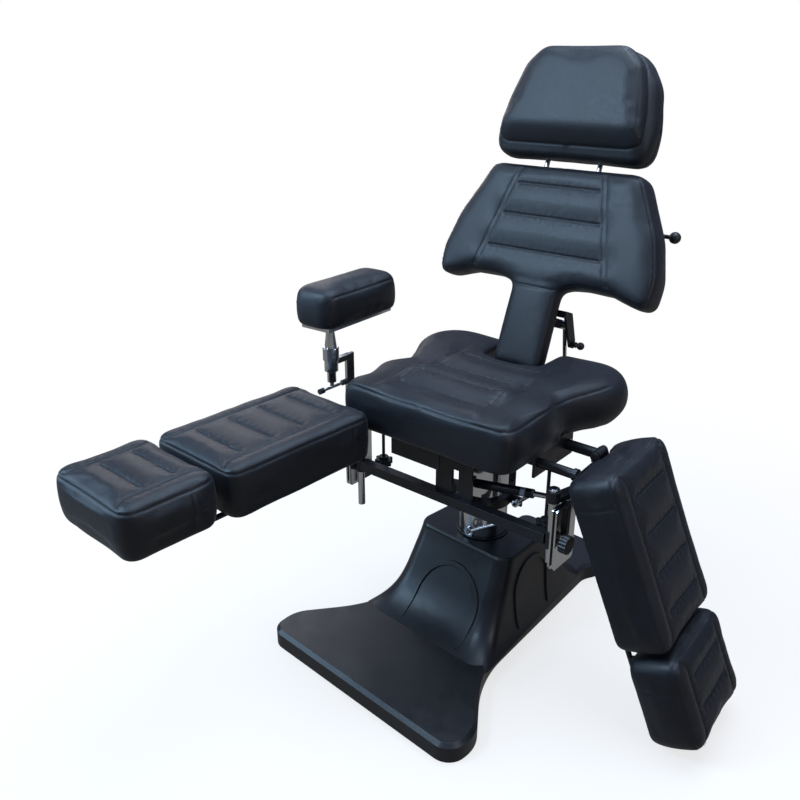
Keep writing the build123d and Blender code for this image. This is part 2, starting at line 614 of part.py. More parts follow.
def side_knob(side):
    """Lobed knob outside the end plates."""
    lobes = knob_lobes + knob_lobes
    knob = star_knob(lobes, side_knob_radius, side_knob_length, knob_lobe_radius)
    x = end_plate_inner + end_plate_sheet + end_plate_gap + end_plate_sheet
    turned = Plane(origin=(x + side_knob_gap, -side_knob_y, side_knob_z), z_dir=(1, 0, 0)) * knob
    turned += rod((x + clearance, -side_knob_y, side_knob_z), (x + side_knob_gap, -side_knob_y, side_knob_z), knob_stem)
    return place(turned, side)


# Seat cushion.
def seat_section(y, half, side_z, low, shoulder, shoulder_z, centre_z):
    """Closed smooth profile of the seat at one Y."""
    right = [
        (0, low), (half * seat_low_share / 2, low), (half * seat_low_share, low),
        (half - (half - shoulder) / seat_round, (low + side_z) / 2), (half, side_z),
        (shoulder + (half - shoulder) * seat_high_share, (side_z + shoulder_z) / 2 + (shoulder_z - side_z) / seat_round),
        (shoulder, shoulder_z), (shoulder / 2, (shoulder_z + centre_z) / 2), (0, centre_z),
    ]
    left = [(-x, z) for x, z in reversed(right[1:-1])]
    curve = Spline(*[(x, y, z) for x, z in right + left], periodic=True)
    return make_face(curve)


def seat_cushion():
    """Saddle-shaped cushion with raised rear wings and an opening for the back's stem."""
    body = loft([seat_section(*station) for station in seat_stations])
    notch = span(-notch_half, notch_half, notch_front, rear_edge, 0, base_top + seat_top)
    body -= fillet(notch.edges().filter_by(Axis.Z), notch_corner)
    body -= span(-front_edge, front_edge, -front_edge, front_edge, base_top, seat_skirt)
    body -= Pos(0, 0, base_top) * extrude(seat_plan(pan_inset - clearance), seat_bottom - base_top)
    for side in (-1, 1):
        x0, x1 = sorted((side * rail_x, side * (hanger_x + hanger_sheet + clearance)))
        body -= span(x0, x1, -hanger_front - clearance, hanger_rear + clearance, base_top,
                     seat_bottom - pan_height + clearance)
    top = seat_top + rim_gap
    cuts = [((-panel_half, -panel_front), (panel_half, -panel_front)),
            ((-panel_half, -panel_front), (-panel_half, panel_rear)),
            ((panel_half, -panel_front), (panel_half, panel_rear))]
    cuts += [((-panel_half, y), (panel_half, y)) for y in seat_ribs]
    for start, end in cuts:
        body -= groove(start, end, groove_depth + rim_gap, groove_width, top)
    return body


# Leg rests, built on the +X side with the post's axis at the origin.
def pad_outline(half, length, corner):
    return [(half, -length, corner), (half, 0, corner), (-half, 0, corner), (-half, -length, corner)]


def leg_cushion(half, length, corner, ribs, panel):
    """Boxed cushion: top face at Z = 0, rear edge on Y = 0, running to -Y, with seam channels."""
    pad = Pos(0, 0, -pad_depth) * padded(pad_outline(half, length, corner), pad_depth, pad_levels)
    for share in ribs:
        y = share * length
        pad -= groove((-panel, -y), (panel, -y), groove_depth, groove_width, 0)
    for x in (-panel, panel):
        pad -= groove((x, -length + rib_margin), (x, -rib_margin), groove_depth, groove_width, 0)
    return pad


def leg_frame():
    """Steel plate and knuckles under the calf board, with sleeves for the foot rods."""
    top = -pad_depth - clearance - leg_board
    plate = span(-plate_half, plate_half, -plate_end, -hinge_back - knuckle_round, top - leg_sheet, top)
    plate -= span(hinge_offset - leg_notch, hinge_offset + leg_notch, -board_start + leg_sheet, 0,
                  top - leg_sheet, top)
    for side in (-1, 1):
        near = hinge_offset + side * (yoke_width / 2 + knuckle_gap + knuckle_gap)
        far = near + side * knuckle_sheet
        knuckle = rod((near, -hinge_back, -hinge_drop), (far, -hinge_back, -hinge_drop), knuckle_round)
        knuckle += span(near, far, -board_start, -hinge_back, top - leg_sheet, -hinge_drop + knuckle_round)
        knuckle -= rod((near - side, -hinge_back, -hinge_drop), (far + side, -hinge_back, -hinge_drop),
                       hinge_pin + running_gap)
        plate += knuckle
    low = top - leg_sheet - foot_sleeve + foot_sleeve_sink
    for x in (-foot_rod_x, foot_rod_x):
        plate += pipe((x, -foot_sleeve_high, low), (x, -foot_sleeve_low, low), foot_sleeve,
                      foot_rod_radius + running_gap)
    board = span(-pad_half + board_inset, pad_half - board_inset, -pad_length + board_inset, -board_start,
                 top, top + leg_board)
    return Compound(children=[*plate.solids(), board])


def leg_parts(swing, turn, drop, rise, slide, post_low):
    """One leg rest's nodes in place on the +X side."""
    home = Pos(post_x, -bar_y, 0)
    post = disc(post_radius, post_low, post_top) + disc(collar_radius, collar_z, collar_z + collar_height)
    post += disc(collar_radius, head_high + clearance, head_high + clearance + collar_height)
    arm = span(-arm_width / 2, arm_width / 2, -arm_length, 0, arm_low, arm_high)
    arm += disc(boss_radius, arm_low, head_high) + disc(boss_radius, boss_low, arm_high, 0, -arm_length)
    arm -= disc(post_radius + running_gap, arm_low, head_high)
    arm -= disc(riser_radius + running_gap, boss_low, arm_high, 0, -arm_length)
    riser = disc(riser_radius, riser_low, riser_high) + disc(riser_pin, riser_high, riser_pin_top)
    hinge_z = seat_hinge_z()
    block = span(-yoke_width / 2, yoke_width / 2, -yoke_depth / 2, yoke_depth / 2, yoke_low, hinge_z)
    block += rod((-yoke_width / 2, 0, hinge_z), (yoke_width / 2, 0, hinge_z), yoke_round)
    block -= disc(riser_pin + running_gap, yoke_low, riser_pin_top + clearance)
    yoke = block + rod((-hinge_pin_half, 0, hinge_z), (hinge_pin_half, 0, hinge_z), hinge_pin)
    at_arm = home * Rot(0, 0, swing)
    at_boss = at_arm * Pos(0, -arm_length, rise)
    at_yoke = at_boss * Rot(0, 0, turn)
    at_calf = at_yoke * Pos(0, 0, hinge_z) * Rot(drop, 0, 0) * Pos(-hinge_offset, hinge_back, hinge_drop)
    at_foot = at_calf * Pos(0, -slide, 0)
    board_low = -pad_depth - clearance - leg_board
    rod_z = board_low - leg_sheet - foot_sleeve + foot_sleeve_sink
    rods = foot_rods(rod_z)
    calf_cushion = leg_cushion(pad_half, pad_length, pad_corner, calf_rib_shares, calf_panel)
    foot_cushion = leg_cushion(foot_half, foot_length, foot_corner, foot_rib_shares, foot_panel)
    return home * post, {
        "leg_arm": at_arm * arm,
        "leg_riser": at_boss * riser,
        "leg_yoke": at_yoke * yoke,
        "calf_plate": at_calf * leg_frame(),
        "calf_cushion": at_calf * calf_cushion,
        "foot_frame": at_foot * Compound(children=rods),
        "foot_cushion": at_foot * Pos(0, -foot_start, foot_rise) * foot_cushion,
    }


def foot_rods(rod_z):
    """Two rods, their spacer strips and the board under the foot cushion."""
    top = foot_rise - pad_depth - clearance
    board_y0, board_y1 = -foot_end + foot_board_inset, -foot_start - foot_board_inset
    pieces = []
    for x in (-foot_rod_x, foot_rod_x):
        bar = rod((x, -foot_start - foot_length / 2, rod_z), (x, -foot_rod_start, rod_z), foot_rod_radius)
        strip = span(x - foot_rod_radius, x + foot_rod_radius, board_y0 + foot_board_inset, board_y1,
                     rod_z, top - leg_board)
        pieces.append(bar + strip)
    half = foot_half - foot_board_inset
    pieces.append(span(-half, half, board_y0, board_y1, top - leg_board, top))
    return pieces


def seat_hinge_z():
    """Height of the drop hinge with the riser down."""
    return yoke_low + yoke_depth - hinge_seat



# Back parts, built flat (u = X, distance up the back = Y, front = Z).
def on_back(shape):
    """Flat-built shape stood up at the back's lean."""
    lean = radians(back_lean)
    frame = Plane(origin=(0, back_foot_y, back_foot_z), x_dir=(1, 0, 0), z_dir=(0, -cos(lean), sin(lean)))
    return frame.location * shape


def back_flat(y, z):
    """Distance up the back and in front of it of a point in the YZ plane."""
    lean = radians(back_lean)
    dy, dz = y - back_foot_y, z - back_foot_z
    return dy * sin(lean) + dz * cos(lean), -dy * cos(lean) + dz * sin(lean)


def back_cushion():
    """T-shaped padding: narrow stem and wide wings, with a recess behind for the frame."""
    wings = mirrored([(back_points[1][0], back_points[1][1], back_points[1][2])] + back_points[2:])
    stem = mirrored([back_points[0], (back_points[0][0], stem_top, back_points[0][2])])
    body = Pos(0, 0, -wing_depth) * padded(wings, wing_depth, pad_levels)
    body += Pos(0, 0, -stem_depth) * padded(stem, stem_depth, pad_levels)
    body -= span(-recess_half, recess_half, recess_low, recess_high, -wing_depth - wall, -frame_front + clearance)
    for x in (-guide_x, guide_x):
        body -= span(x - guide_outer - clearance, x + guide_outer + clearance, guide_low - guide_outer, recess_high,
                     -wing_depth, -guide_depth() + guide_outer + clearance)
    cuts = []
    for v in back_ribs:
        share = (v - back_rib_low) / (back_rib_high - back_rib_low)
        half = rib_taper_low + (rib_taper_high - rib_taper_low) * share
        cuts.append(((-half, v), (half, v)))
    for side in (-1, 1):
        cuts.append(((side * rib_taper_low, back_rib_low), (side * rib_taper_high, back_rib_high)))
    for start, end in cuts:
        body -= groove(start, end, groove_depth, groove_width, 0)
    return body


def guide_depth():
    """Depth of the headrest rods' axis behind the back's face."""
    return frame_front - guide_outer


def back_frame():
    """Steel plate up the back with two pivot arms and a bush round the pivot pin."""
    plate = span(-frame_half, frame_half, frame_low, frame_high, -frame_front - frame_sheet, -frame_front)
    v, n = back_flat(pivot_y, pivot_z)
    for side in (-1, 1):
        x0, x1 = sorted((side * arm_x, side * (arm_x - arm_sheet)))
        plate += span(x0, x1, v, back_points[0][1] - clearance, n - arm_radius, n + arm_radius)
        plate += rod((x0, v, n), (x1, v, n), arm_radius)
    plate -= rod((-pivot_half, v, n), (pivot_half, v, n), pivot_radius + running_gap)
    lug_v, lug_n = back_flat(*strut_top)
    x0, x1 = arm_x - arm_sheet, strut_x - strut_eye_width / 2 - body_gap
    plate += span(x0, x1, lug_v - strut_eye, lug_v + strut_eye, lug_n - strut_eye, -frame_front)
    lock = span(frame_half - frame_sheet - frame_sheet, frame_half, head_lock_v - head_bracket,
                head_lock_v + head_bracket, -head_lock_n - head_bracket, -frame_front)
    plate += lock
    return plate + release_arm()


def release_arm():
    """Bracket that reaches past the strut to the release rod."""
    v, n = back_flat(release_y, release_z)
    x0, x1 = release_arm_x, release_arm_x + sheet
    near, deep = -frame_front, -frame_front - release_arm_deep
    low, high = release_arm_low, release_arm_high
    bridge = span(arm_x - arm_sheet, x1, low, high, deep, near)
    edge = Polyline((high, near), (high, deep), (v + ball_radius, n - ball_radius), (v - ball_radius, n - ball_radius),
                    (v - ball_radius, n + ball_radius), (low, near), close=True)
    return bridge + extrude(Plane.YZ.offset(x0) * make_face(edge), sheet)


def head_guides():
    """Two tubes behind the padding that hold the headrest rods."""
    depth = -guide_depth()
    tubes = []
    for x in (-guide_x, guide_x):
        tube = pipe((x, guide_low, depth), (x, guide_high, depth), guide_outer, rod_radius + running_gap)
        inner = frame_half if x > 0 else -frame_half
        x0, x1 = sorted((inner, x))
        tube += span(x0, x1, guide_low, guide_low + guide_strap_width, -frame_front - guide_strap, -frame_front) \
            - rod((x, guide_low, depth), (x, guide_high, depth), rod_radius + running_gap)
        tubes.append(tube)
    return Compound(children=tubes)


def head_parts():
    """Headrest: rear block, tilted face block, board and its two rods."""
    rear = Pos(0, 0, head_rear) * padded(mirrored(head_points), head_split - head_rear, head_levels)
    face_depth = head_front - head_split
    face = mirrored(head_face)
    front = Pos(0, 0, head_split - clearance) * padded(face, face_depth + clearance, face_levels)
    cushion = rear + front
    wedge = Plane(origin=(0, head_bevel, head_front), x_dir=(1, 0, 0), z_dir=(0, -sin(radians(head_lean)), cos(radians(head_lean))))
    size = head_bevel
    cushion -= wedge.location * (Pos(0, -size / 2, size / 2) * Box(size, size, size))
    depth = -guide_depth()
    rods = []
    for x in (-guide_x, guide_x):
        cushion -= rod((x, 0, depth), (x, head_socket, depth), rod_radius + clearance)
        rods.append(rod((x, rod_low, depth), (x, head_rod_top, depth), rod_radius))
    return cushion, Compound(children=rods)


def head_lock():
    """Knob on a long threaded rod behind the right-hand wing."""
    start = frame_half + clearance
    rod_part = rod((start, head_lock_v, -head_lock_n), (head_lock_x, head_lock_v, -head_lock_n), lever_radius)
    return rod_part + Pos(head_lock_x + head_knob_radius / 2, head_lock_v, -head_lock_n) * Sphere(head_knob_radius)


def recline_release():
    """Small rod with a ball grip behind the stem."""
    v, n = back_flat(release_y, release_z)
    x = release_x
    end = (x, v, n - release_length)
    stick = rod((x, v, n), end, release_rod)
    stick += rod((x - release_hub, v, n), (x + release_hub, v, n), release_hub + release_rod / 2)
    return stick + Pos(*end) * Sphere(ball_radius)


def strut():
    """Recline strut beside the stem: cylinder on the seat frame, rod towards the back's lug."""
    top, foot = Vector(strut_x, *strut_top), Vector(strut_x, *strut_foot)
    along = (top - foot).normalized()
    half = Vector(strut_eye_width / 2, 0, 0)
    neck = foot + along * strut_neck
    cap = foot + (top - foot) * strut_share
    bore = strut_rod + running_gap
    cylinder = rod(neck, cap, strut_radius) - rod(neck, cap, bore)
    cylinder += rod(neck - along * strut_rod, neck, strut_radius)
    cylinder += rod(foot, neck, strut_rod) + rod(foot - half, foot + half, strut_eye)
    cylinder -= rod(foot - half - half, foot + half + half, strut_pin + running_gap)
    piston = rod(foot + (top - foot) * strut_rod_share, top - along * strut_eye, strut_rod)
    piston += rod(top - half, top + half, strut_eye)
    return cylinder, piston


def back_bracket():
    """Rear lugs on the seat frame: the back's pivot pin and the strut's foot."""
    low = seat_bottom - pan_height - rail_height
    inner = arm_x + clearance + rim_gap
    shape = None
    for side in (-1, 1):
        x0, x1 = sorted((side * inner, side * (inner + sheet)))
        cheek = span(x0, x1, pedestal_half, pivot_y, low, seat_bottom - pan_height)
        cheek += span(x0, x1, pivot_y - arm_radius, pivot_y + arm_radius, low, pivot_z)
        cheek += rod((x0, pivot_y, pivot_z), (x1, pivot_y, pivot_z), arm_radius)
        shape = cheek if shape is None else shape + cheek
    pin = rod((-inner - sheet, pivot_y, pivot_z), (inner + sheet, pivot_y, pivot_z), pivot_radius)
    foot_y, foot_z = strut_foot
    x1 = strut_x - strut_eye_width / 2 - body_gap
    x0 = x1 - sheet
    arm = span(x0, x1, pivot_y - arm_radius, pivot_y + arm_radius, low, pivot_z - arm_radius)
    top = low + sheet
    hook = Polyline((pivot_y - arm_radius, top), (pivot_y + arm_radius, top), (foot_y + strut_eye, foot_z + strut_eye),
                    (foot_y + strut_eye, foot_z - strut_eye), (foot_y - strut_eye, foot_z - strut_eye), close=True)
    leg = extrude(Plane.YZ.offset(x0) * make_face(hook), sheet)
    stub = rod((x0, foot_y, foot_z), (strut_x + strut_eye_width / 2, foot_y, foot_z), strut_pin)
    return Compound(children=[shape + pin, arm + leg + stub])


# Armrest.
def armrest():
    """Sliding bar, socket with tee clamp, and the turning neck, board and pad."""
    x = arm_post_x
    bar = rod((x, -receiver_y, receiver_z), (inner_bar_end, -receiver_y, receiver_z), receiver_bore)
    y0 = flat_bar_y - flat_bar_w / 2
    upright = span(x - flat_bar_t / 2, x + flat_bar_t / 2, y0, -receiver_y + receiver_outer, receiver_z - receiver_outer,
                   receiver_z + receiver_outer)
    upright += span(x - flat_bar_t / 2, x + flat_bar_t / 2, y0, y0 + flat_bar_w, receiver_z, link_z + link_h / 2)
    link = span(x - link_w / 2, x + link_w / 2, arm_post_y, y0 + flat_bar_w / 2,
                link_z - link_h / 2, link_z + link_h / 2)
    link -= disc(cylinder_r, cylinder_low, collar_low, x, arm_post_y)
    bore = socket_r + running_gap
    socket = disc(cylinder_r, cylinder_low, collar_low, x, arm_post_y) + disc(collar_r, collar_low, neck_low, x, arm_post_y)
    socket = chamfer(socket.edges().group_by(Axis.Z)[-1], rim_gap + rim_gap)
    tail = disc(socket_r + wall, socket_low, cylinder_low, x, arm_post_y)
    socket = socket + tail - disc(bore, socket_low + sheet - clearance, neck_low + wall, x, arm_post_y)
    socket -= disc(clamp_screw_r + running_gap, socket_low - wall, socket_low + sheet, x, arm_post_y)
    tee_y = (tee_front + tee_rear) / 2
    tee = rod((x, tee_front, tee_z), (x, tee_rear, tee_z), tee_r)
    tee += disc(clamp_screw_r, tee_z, socket_low + sheet / 2, x, arm_post_y)
    tips = [rod((x, tee_front - tee_tip, tee_z), (x, tee_front, tee_z), tee_tip_r),
            rod((x, tee_rear, tee_z), (x, tee_rear + tee_tip, tee_z), tee_tip_r)]
    stem = disc(socket_r, socket_low + sheet, neck_low + clearance, x, arm_post_y)
    cone = Pos(x, arm_post_y, (neck_low + clearance + arm_pad_bottom - arm_board) / 2) * Cone(
        neck_foot, neck_top, arm_pad_bottom - arm_board - neck_low - clearance)
    neck = stem + cone + disc(neck_ball, arm_pad_bottom - arm_board - sheet, arm_pad_bottom - arm_board, x, arm_post_y)
    turn = Pos(arm_pad_x, arm_pad_y, 0) * Rot(0, 0, arm_pad_turn)
    inset = board_inset / 2
    board = turn * span(-arm_pad_wide / 2 + inset, arm_pad_wide / 2 - inset, -arm_pad_long / 2 + inset,
                        arm_pad_long / 2 - inset, arm_pad_bottom - arm_board, arm_pad_bottom)
    half, long = arm_pad_wide / 2, arm_pad_long / 2
    outline = [(half, -long, pad_corner), (half, long, pad_corner), (-half, long, pad_corner), (-half, -long, pad_corner)]
    pad = turn * (Pos(0, 0, arm_pad_bottom) * padded(outline, arm_pad_high, arm_levels))
    return {
        "armrest_bar": bar + upright + link,
        "armrest_socket": socket,
        "armrest_tee": tee,
        "armrest_tee_tips": Compound(children=tips),
        "armrest_neck": Compound(children=[neck, board]),
        "armrest_cushion": pad,
    }


def seat_body():
    cylinder, piston = gas_spring()
    nodes = {
        "swivel_plate": swivel_plate(),
        "seat_pan": seat_pan(),
        "seat_cushion": seat_cushion(),
        "crossbar": crossbar(),
        "centre_bracket": centre_bracket(),
        "apron": apron(),
        "seat_frame": seat_frame(),
        "cross_tube": cross_tube(),
        "receivers": Compound(children=[receiver(-1), receiver(1)]),
        "back_lugs": back_bracket(),
        "gas_cylinder": cylinder,
        "gas_rod": piston,
        "brake_collar": brake_collar(),
    }
    for name, part in zip(("end_plates", "end_filler", "clamp_bars"), zip(end_plates(-1), end_plates(1))):
        nodes[name] = Compound(children=[solid for shape in part for solid in shape.solids()])
    for name, side in (("left", -1), ("right", 1)):
        nodes["star_knob_" + name] = receiver_knob(side)
        nodes["side_knob_" + name] = side_knob(side)
    brake, lock = levers()
    nodes["brake_lever"] = brake
    nodes["lock_lever"] = lock
    return nodes


def back_body():
    cushion, rods = head_parts()
    cylinder, piston = strut()
    return {
        "back_cushion": on_back(back_cushion()),
        "back_frame": on_back(back_frame()),
        "head_guides": on_back(head_guides()),
        "head_cushion": on_back(cushion),
        "head_rods": on_back(rods),
        "head_lock": on_back(head_lock()),
        "release_handle": on_back(recline_release()),
        "strut_cylinder": cylinder,
        "strut_rod": piston,
    }


def main():
    nodes = {}
    nodes.update(base_body())
    nodes.update(lift_body())
    nodes.update(seat_body())
    nodes.update(back_body())
    nodes.update(armrest())
    left_post, left = leg_parts(left_swing, left_turn, left_drop, left_rise, left_slide, post_low_left)
    right_post, right = leg_parts(right_swing, right_turn, right_drop, right_rise, right_slide, post_low_right)
    nodes["leg_posts"] = Compound(children=[place(left_post, -1), right_post])
    for name, shape in left.items():
        nodes[name + "_left"] = place(shape, -1)
    for name, shape in right.items():
        nodes[name + "_right"] = shape
    for name, shape in nodes.items():
        export_step(shape, "parts/" + name + ".step")


main()
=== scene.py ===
import bpy
import bmesh
import json
import math
import numpy as np
from mathutils import Matrix, Vector, noise
from mathutils.bvhtree import BVHTree
from mathutils.kdtree import KDTree


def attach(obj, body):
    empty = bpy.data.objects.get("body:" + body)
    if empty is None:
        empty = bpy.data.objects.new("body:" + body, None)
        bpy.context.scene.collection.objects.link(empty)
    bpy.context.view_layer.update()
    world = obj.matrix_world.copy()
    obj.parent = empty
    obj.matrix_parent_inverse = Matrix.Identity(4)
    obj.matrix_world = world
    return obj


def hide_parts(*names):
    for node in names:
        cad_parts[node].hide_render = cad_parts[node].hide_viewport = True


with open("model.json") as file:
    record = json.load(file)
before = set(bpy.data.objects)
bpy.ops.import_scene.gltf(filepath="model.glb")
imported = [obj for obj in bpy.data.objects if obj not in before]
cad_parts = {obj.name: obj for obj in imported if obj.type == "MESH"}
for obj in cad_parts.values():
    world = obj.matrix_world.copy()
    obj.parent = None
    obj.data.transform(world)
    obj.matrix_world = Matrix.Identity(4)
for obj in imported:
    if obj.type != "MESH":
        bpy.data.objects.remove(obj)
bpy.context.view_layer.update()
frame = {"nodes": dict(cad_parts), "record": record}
nodes = frame["nodes"]
scene = bpy.context.scene
MM = 0.001


# Camera and light

CAMERA_PLACE = (1.0278, -1.5429, 1.3838)
# Azimuth, pitch and roll in degrees
CAMERA_TURN = (40.25, 22.85, -0.13)
CAMERA_LENS = 37.26
# Sky colours by height, from straight down at 0 to straight up at 1
SKY = ((0.0, (0.05, 0.05, 0.06)), (0.52, (0.045, 0.05, 0.07)), (0.70, (0.30, 0.32, 0.45)),
       (1.0, (0.40, 0.62, 1.0)))
SKY_STRENGTH = 0.60
FLOOR_HALF = 14.0
FLOOR_DROP = 0.0005
# The paper takes less shadow further out: distances from the middle, and the share of glow at each
PAPER_REACH = (0.5, 1.9)
PAPER_GLOW = (0.72, 1.0)


def make_camera():
    azimuth, pitch, roll = (math.radians(angle) for angle in CAMERA_TURN)
    level = math.cos(pitch)
    back = Vector((math.sin(azimuth) * level, -math.cos(azimuth) * level, math.sin(pitch)))
    right = Vector((math.cos(azimuth), math.sin(azimuth), 0))
    up = back.cross(right)
    turned_right = right * math.cos(roll) + up * math.sin(roll)
    turned_up = up * math.cos(roll) - right * math.sin(roll)
    camera = bpy.data.objects.new("camera", bpy.data.cameras.new("camera"))
    scene.collection.objects.link(camera)
    turn = Matrix((turned_right, turned_up, back)).transposed().to_4x4()
    camera.matrix_world = Matrix.Translation(CAMERA_PLACE) @ turn
    camera.data.lens, camera.data.sensor_width = CAMERA_LENS, 36.0
    camera.data.clip_start, camera.data.clip_end = 0.05, 60
    scene.camera = camera


def area_light(name, place, target, size, power, colour):
    data = bpy.data.lights.new(name, "AREA")
    data.shape, data.size, data.size_y = "RECTANGLE", size, size
    data.energy, data.color = power, colour
    lamp = bpy.data.objects.new(name, data)
    lamp.location = place
    lamp.rotation_euler = (Vector(target) - Vector(place)).to_track_quat("-Z", "Y").to_euler()
    scene.collection.objects.link(lamp)


def make_lights():
    area_light("key", (-1.6, -2.6, 3.2), (0, 0, 0.6), 1.6, 120, (0.54, 0.77, 1.0))
    area_light("window", (-3.0, -2.2, 1.5), (0, 0, 0.6), 1.8, 42, (0.46, 0.72, 1.0))
    area_light("top", (0.2, 0.4, 3.4), (0, 0, 0.5), 2.4, 85, (0.66, 0.82, 1.0))
    area_light("far_wall", (-3.3, 1.6, 2.1), (-0.2, -0.3, 0.6), 1.8, 18, (1.0, 0.97, 0.98))
    area_light("side", (3.0, -0.6, 1.8), (0, 0, 0.6), 1.4, 12, (1.0, 0.98, 0.95))


def blend(tree, share, first, second):
    """Mix of two shaders by a share from 0 to 1."""
    made = tree.nodes.new("ShaderNodeMixShader")
    tree.links.new(share, made.inputs["Fac"])
    tree.links.new(first, made.inputs[1])
    tree.links.new(second, made.inputs[2])
    return made.outputs[0]


def plain(tree, kind, colour, strength=None):
    """A shader of one colour."""
    made = tree.nodes.new(kind)
    made.inputs["Color"].default_value = (*colour, 1)
    if strength is not None:
        made.inputs["Strength"].default_value = strength
    return made.outputs[0]


def make_world():
    """White to the camera, a sky by height to everything else."""
    world = bpy.data.worlds.new("studio")
    scene.world = world
    world.use_nodes = True
    tree = world.node_tree
    tree.nodes.clear()
    coord = tree.nodes.new("ShaderNodeTexCoord")
    split = tree.nodes.new("ShaderNodeSeparateXYZ")
    span = tree.nodes.new("ShaderNodeMapRange")
    span.inputs["From Min"].default_value, span.inputs["From Max"].default_value = -1.0, 1.0
    ramp = tree.nodes.new("ShaderNodeValToRGB")
    stops = ramp.color_ramp.elements
    stops[0].position, stops[1].position = SKY[0][0], SKY[-1][0]
    for height, _ in SKY[1:-1]:
        stops.new(height)
    for stop, (_, colour) in zip(stops, SKY):
        stop.color = (*colour, 1)
    sky = tree.nodes.new("ShaderNodeBackground")
    sky.inputs["Strength"].default_value = SKY_STRENGTH
    tree.links.new(coord.outputs["Generated"], split.inputs[0])
    tree.links.new(split.outputs["Z"], span.inputs["Value"])
    tree.links.new(span.outputs["Result"], ramp.inputs["Fac"])
    tree.links.new(ramp.outputs["Color"], sky.inputs["Color"])
    white = plain(tree, "ShaderNodeBackground", (1, 1, 1), 1.0)
    path = tree.nodes.new("ShaderNodeLightPath")
    out = tree.nodes.new("ShaderNodeOutputWorld")
    shown = blend(tree, path.outputs["Is Camera Ray"], sky.outputs[0], white)
    tree.links.new(shown, out.inputs["Surface"])


def make_floor():
    """White paper to the camera, a dark floor in the object's own light and mirror pictures."""
    mesh = bpy.data.meshes.new("floor")
    corners = [(x * FLOOR_HALF, y * FLOOR_HALF, 0) for x, y in ((-1, -1), (1, -1), (1, 1), (-1, 1))]
    mesh.from_pydata(corners, [], [(0, 1, 2, 3)])
    floor = bpy.data.objects.new("floor", mesh)
    floor.location.z = -FLOOR_DROP
    scene.collection.objects.link(floor)
    material = bpy.data.materials.new("floor_paper")
    material.use_nodes = True
    tree = material.node_tree
    tree.nodes.clear()
    coord = tree.nodes.new("ShaderNodeTexCoord")
    length = tree.nodes.new("ShaderNodeVectorMath")
    length.operation = "LENGTH"
    fade = tree.nodes.new("ShaderNodeMapRange")
    fade.interpolation_type = "SMOOTHSTEP"
    fade.inputs["From Min"].default_value, fade.inputs["From Max"].default_value = PAPER_REACH
    fade.inputs["To Min"].default_value, fade.inputs["To Max"].default_value = PAPER_GLOW
    tree.links.new(coord.outputs["Object"], length.inputs[0])
    tree.links.new(length.outputs["Value"], fade.inputs["Value"])
    path = tree.nodes.new("ShaderNodeLightPath")
    paper = plain(tree, "ShaderNodeBsdfDiffuse", (0.99, 0.92, 0.86))
    glow = plain(tree, "ShaderNodeEmission", (1, 1, 1), 1.0)
    dark = plain(tree, "ShaderNodeBsdfDiffuse", (0.10, 0.10, 0.11))
    pale = plain(tree, "ShaderNodeEmission", (1, 1, 1), 0.20)
    seen = blend(tree, fade.outputs["Result"], paper, glow)
    unseen = blend(tree, path.outputs["Is Glossy Ray"], dark, pale)
    shown = blend(tree, path.outputs["Is Camera Ray"], unseen, seen)
    out = tree.nodes.new("ShaderNodeOutputMaterial")
    tree.links.new(shown, out.inputs["Surface"])
    mesh.materials.append(material)


# Materials

class Paint:
    """A node material around one Principled shader."""

    def __init__(self, name, colour, rough, metal=0.0):
        self.material = bpy.data.materials.new(name)
        self.material.use_nodes = True
        self.tree = self.material.node_tree
        self.shader = self.tree.nodes["Principled BSDF"]
        self.shader.inputs["Base Color"].default_value = (*colour, 1)
        self.shader.inputs["Roughness"].default_value = rough
        self.shader.inputs["Metallic"].default_value = metal
        self.material.diffuse_color = (*colour, 1)
        coord = self.node("ShaderNodeTexCoord")
        self.place = coord.outputs["Object"]
        self.normal = None

    def node(self, kind, **values):
        made = self.tree.nodes.new(kind)
        for key, value in values.items():
            made.inputs[key.replace("_", " ")].default_value = value
        return made

    def link(self, a, b):
        self.tree.links.new(a, b)

    def noise(self, scale, detail=3.0, rough=0.55):
        made = self.node("ShaderNodeTexNoise", Scale=scale, Detail=detail, Roughness=rough)
        self.link(self.place, made.inputs["Vector"])
        return made.outputs["Fac"]

    def cells(self, scale, feature="DISTANCE_TO_EDGE", random=1.0):
        made = self.node("ShaderNodeTexVoronoi", Scale=scale, Randomness=random)
        made.feature = feature
        self.link(self.place, made.inputs["Vector"])
        return made.outputs["Distance"]

    def ramp(self, value, low, high, out_low, out_high):
        made = self.node("ShaderNodeMapRange", From_Min=low, From_Max=high, To_Min=out_low, To_Max=out_high)
        self.link(value, made.inputs["Value"])
        return made.outputs["Result"]

    def rounded(self, radius):
        """Softened edges in the shading."""
        made = self.node("ShaderNodeBevel", Radius=radius)
        made.samples = 4
        self.normal = made.outputs["Normal"]

    def bump(self, height, distance, strength=1.0):
        made = self.node("ShaderNodeBump", Distance=distance, Strength=strength)
        self.link(height, made.inputs["Height"])
        if self.normal is not None:
            self.link(self.normal, made.inputs["Normal"])
        self.normal = made.outputs["Normal"]

    def mix(self, value, first, second):
        made = self.node("ShaderNodeMix")
        made.data_type = "RGBA"
        made.inputs[6].default_value, made.inputs[7].default_value = (*first, 1), (*second, 1)
        self.link(value, made.inputs[0])
        self.link(made.outputs[2], self.shader.inputs["Base Color"])
        return made

    def rough(self, value, low, high):
        self.link(self.ramp(value, 0.3, 0.7, low, high), self.shader.inputs["Roughness"])

    def done(self):
        if self.normal is not None:
            self.link(self.normal, self.shader.inputs["Normal"])
        return self.material


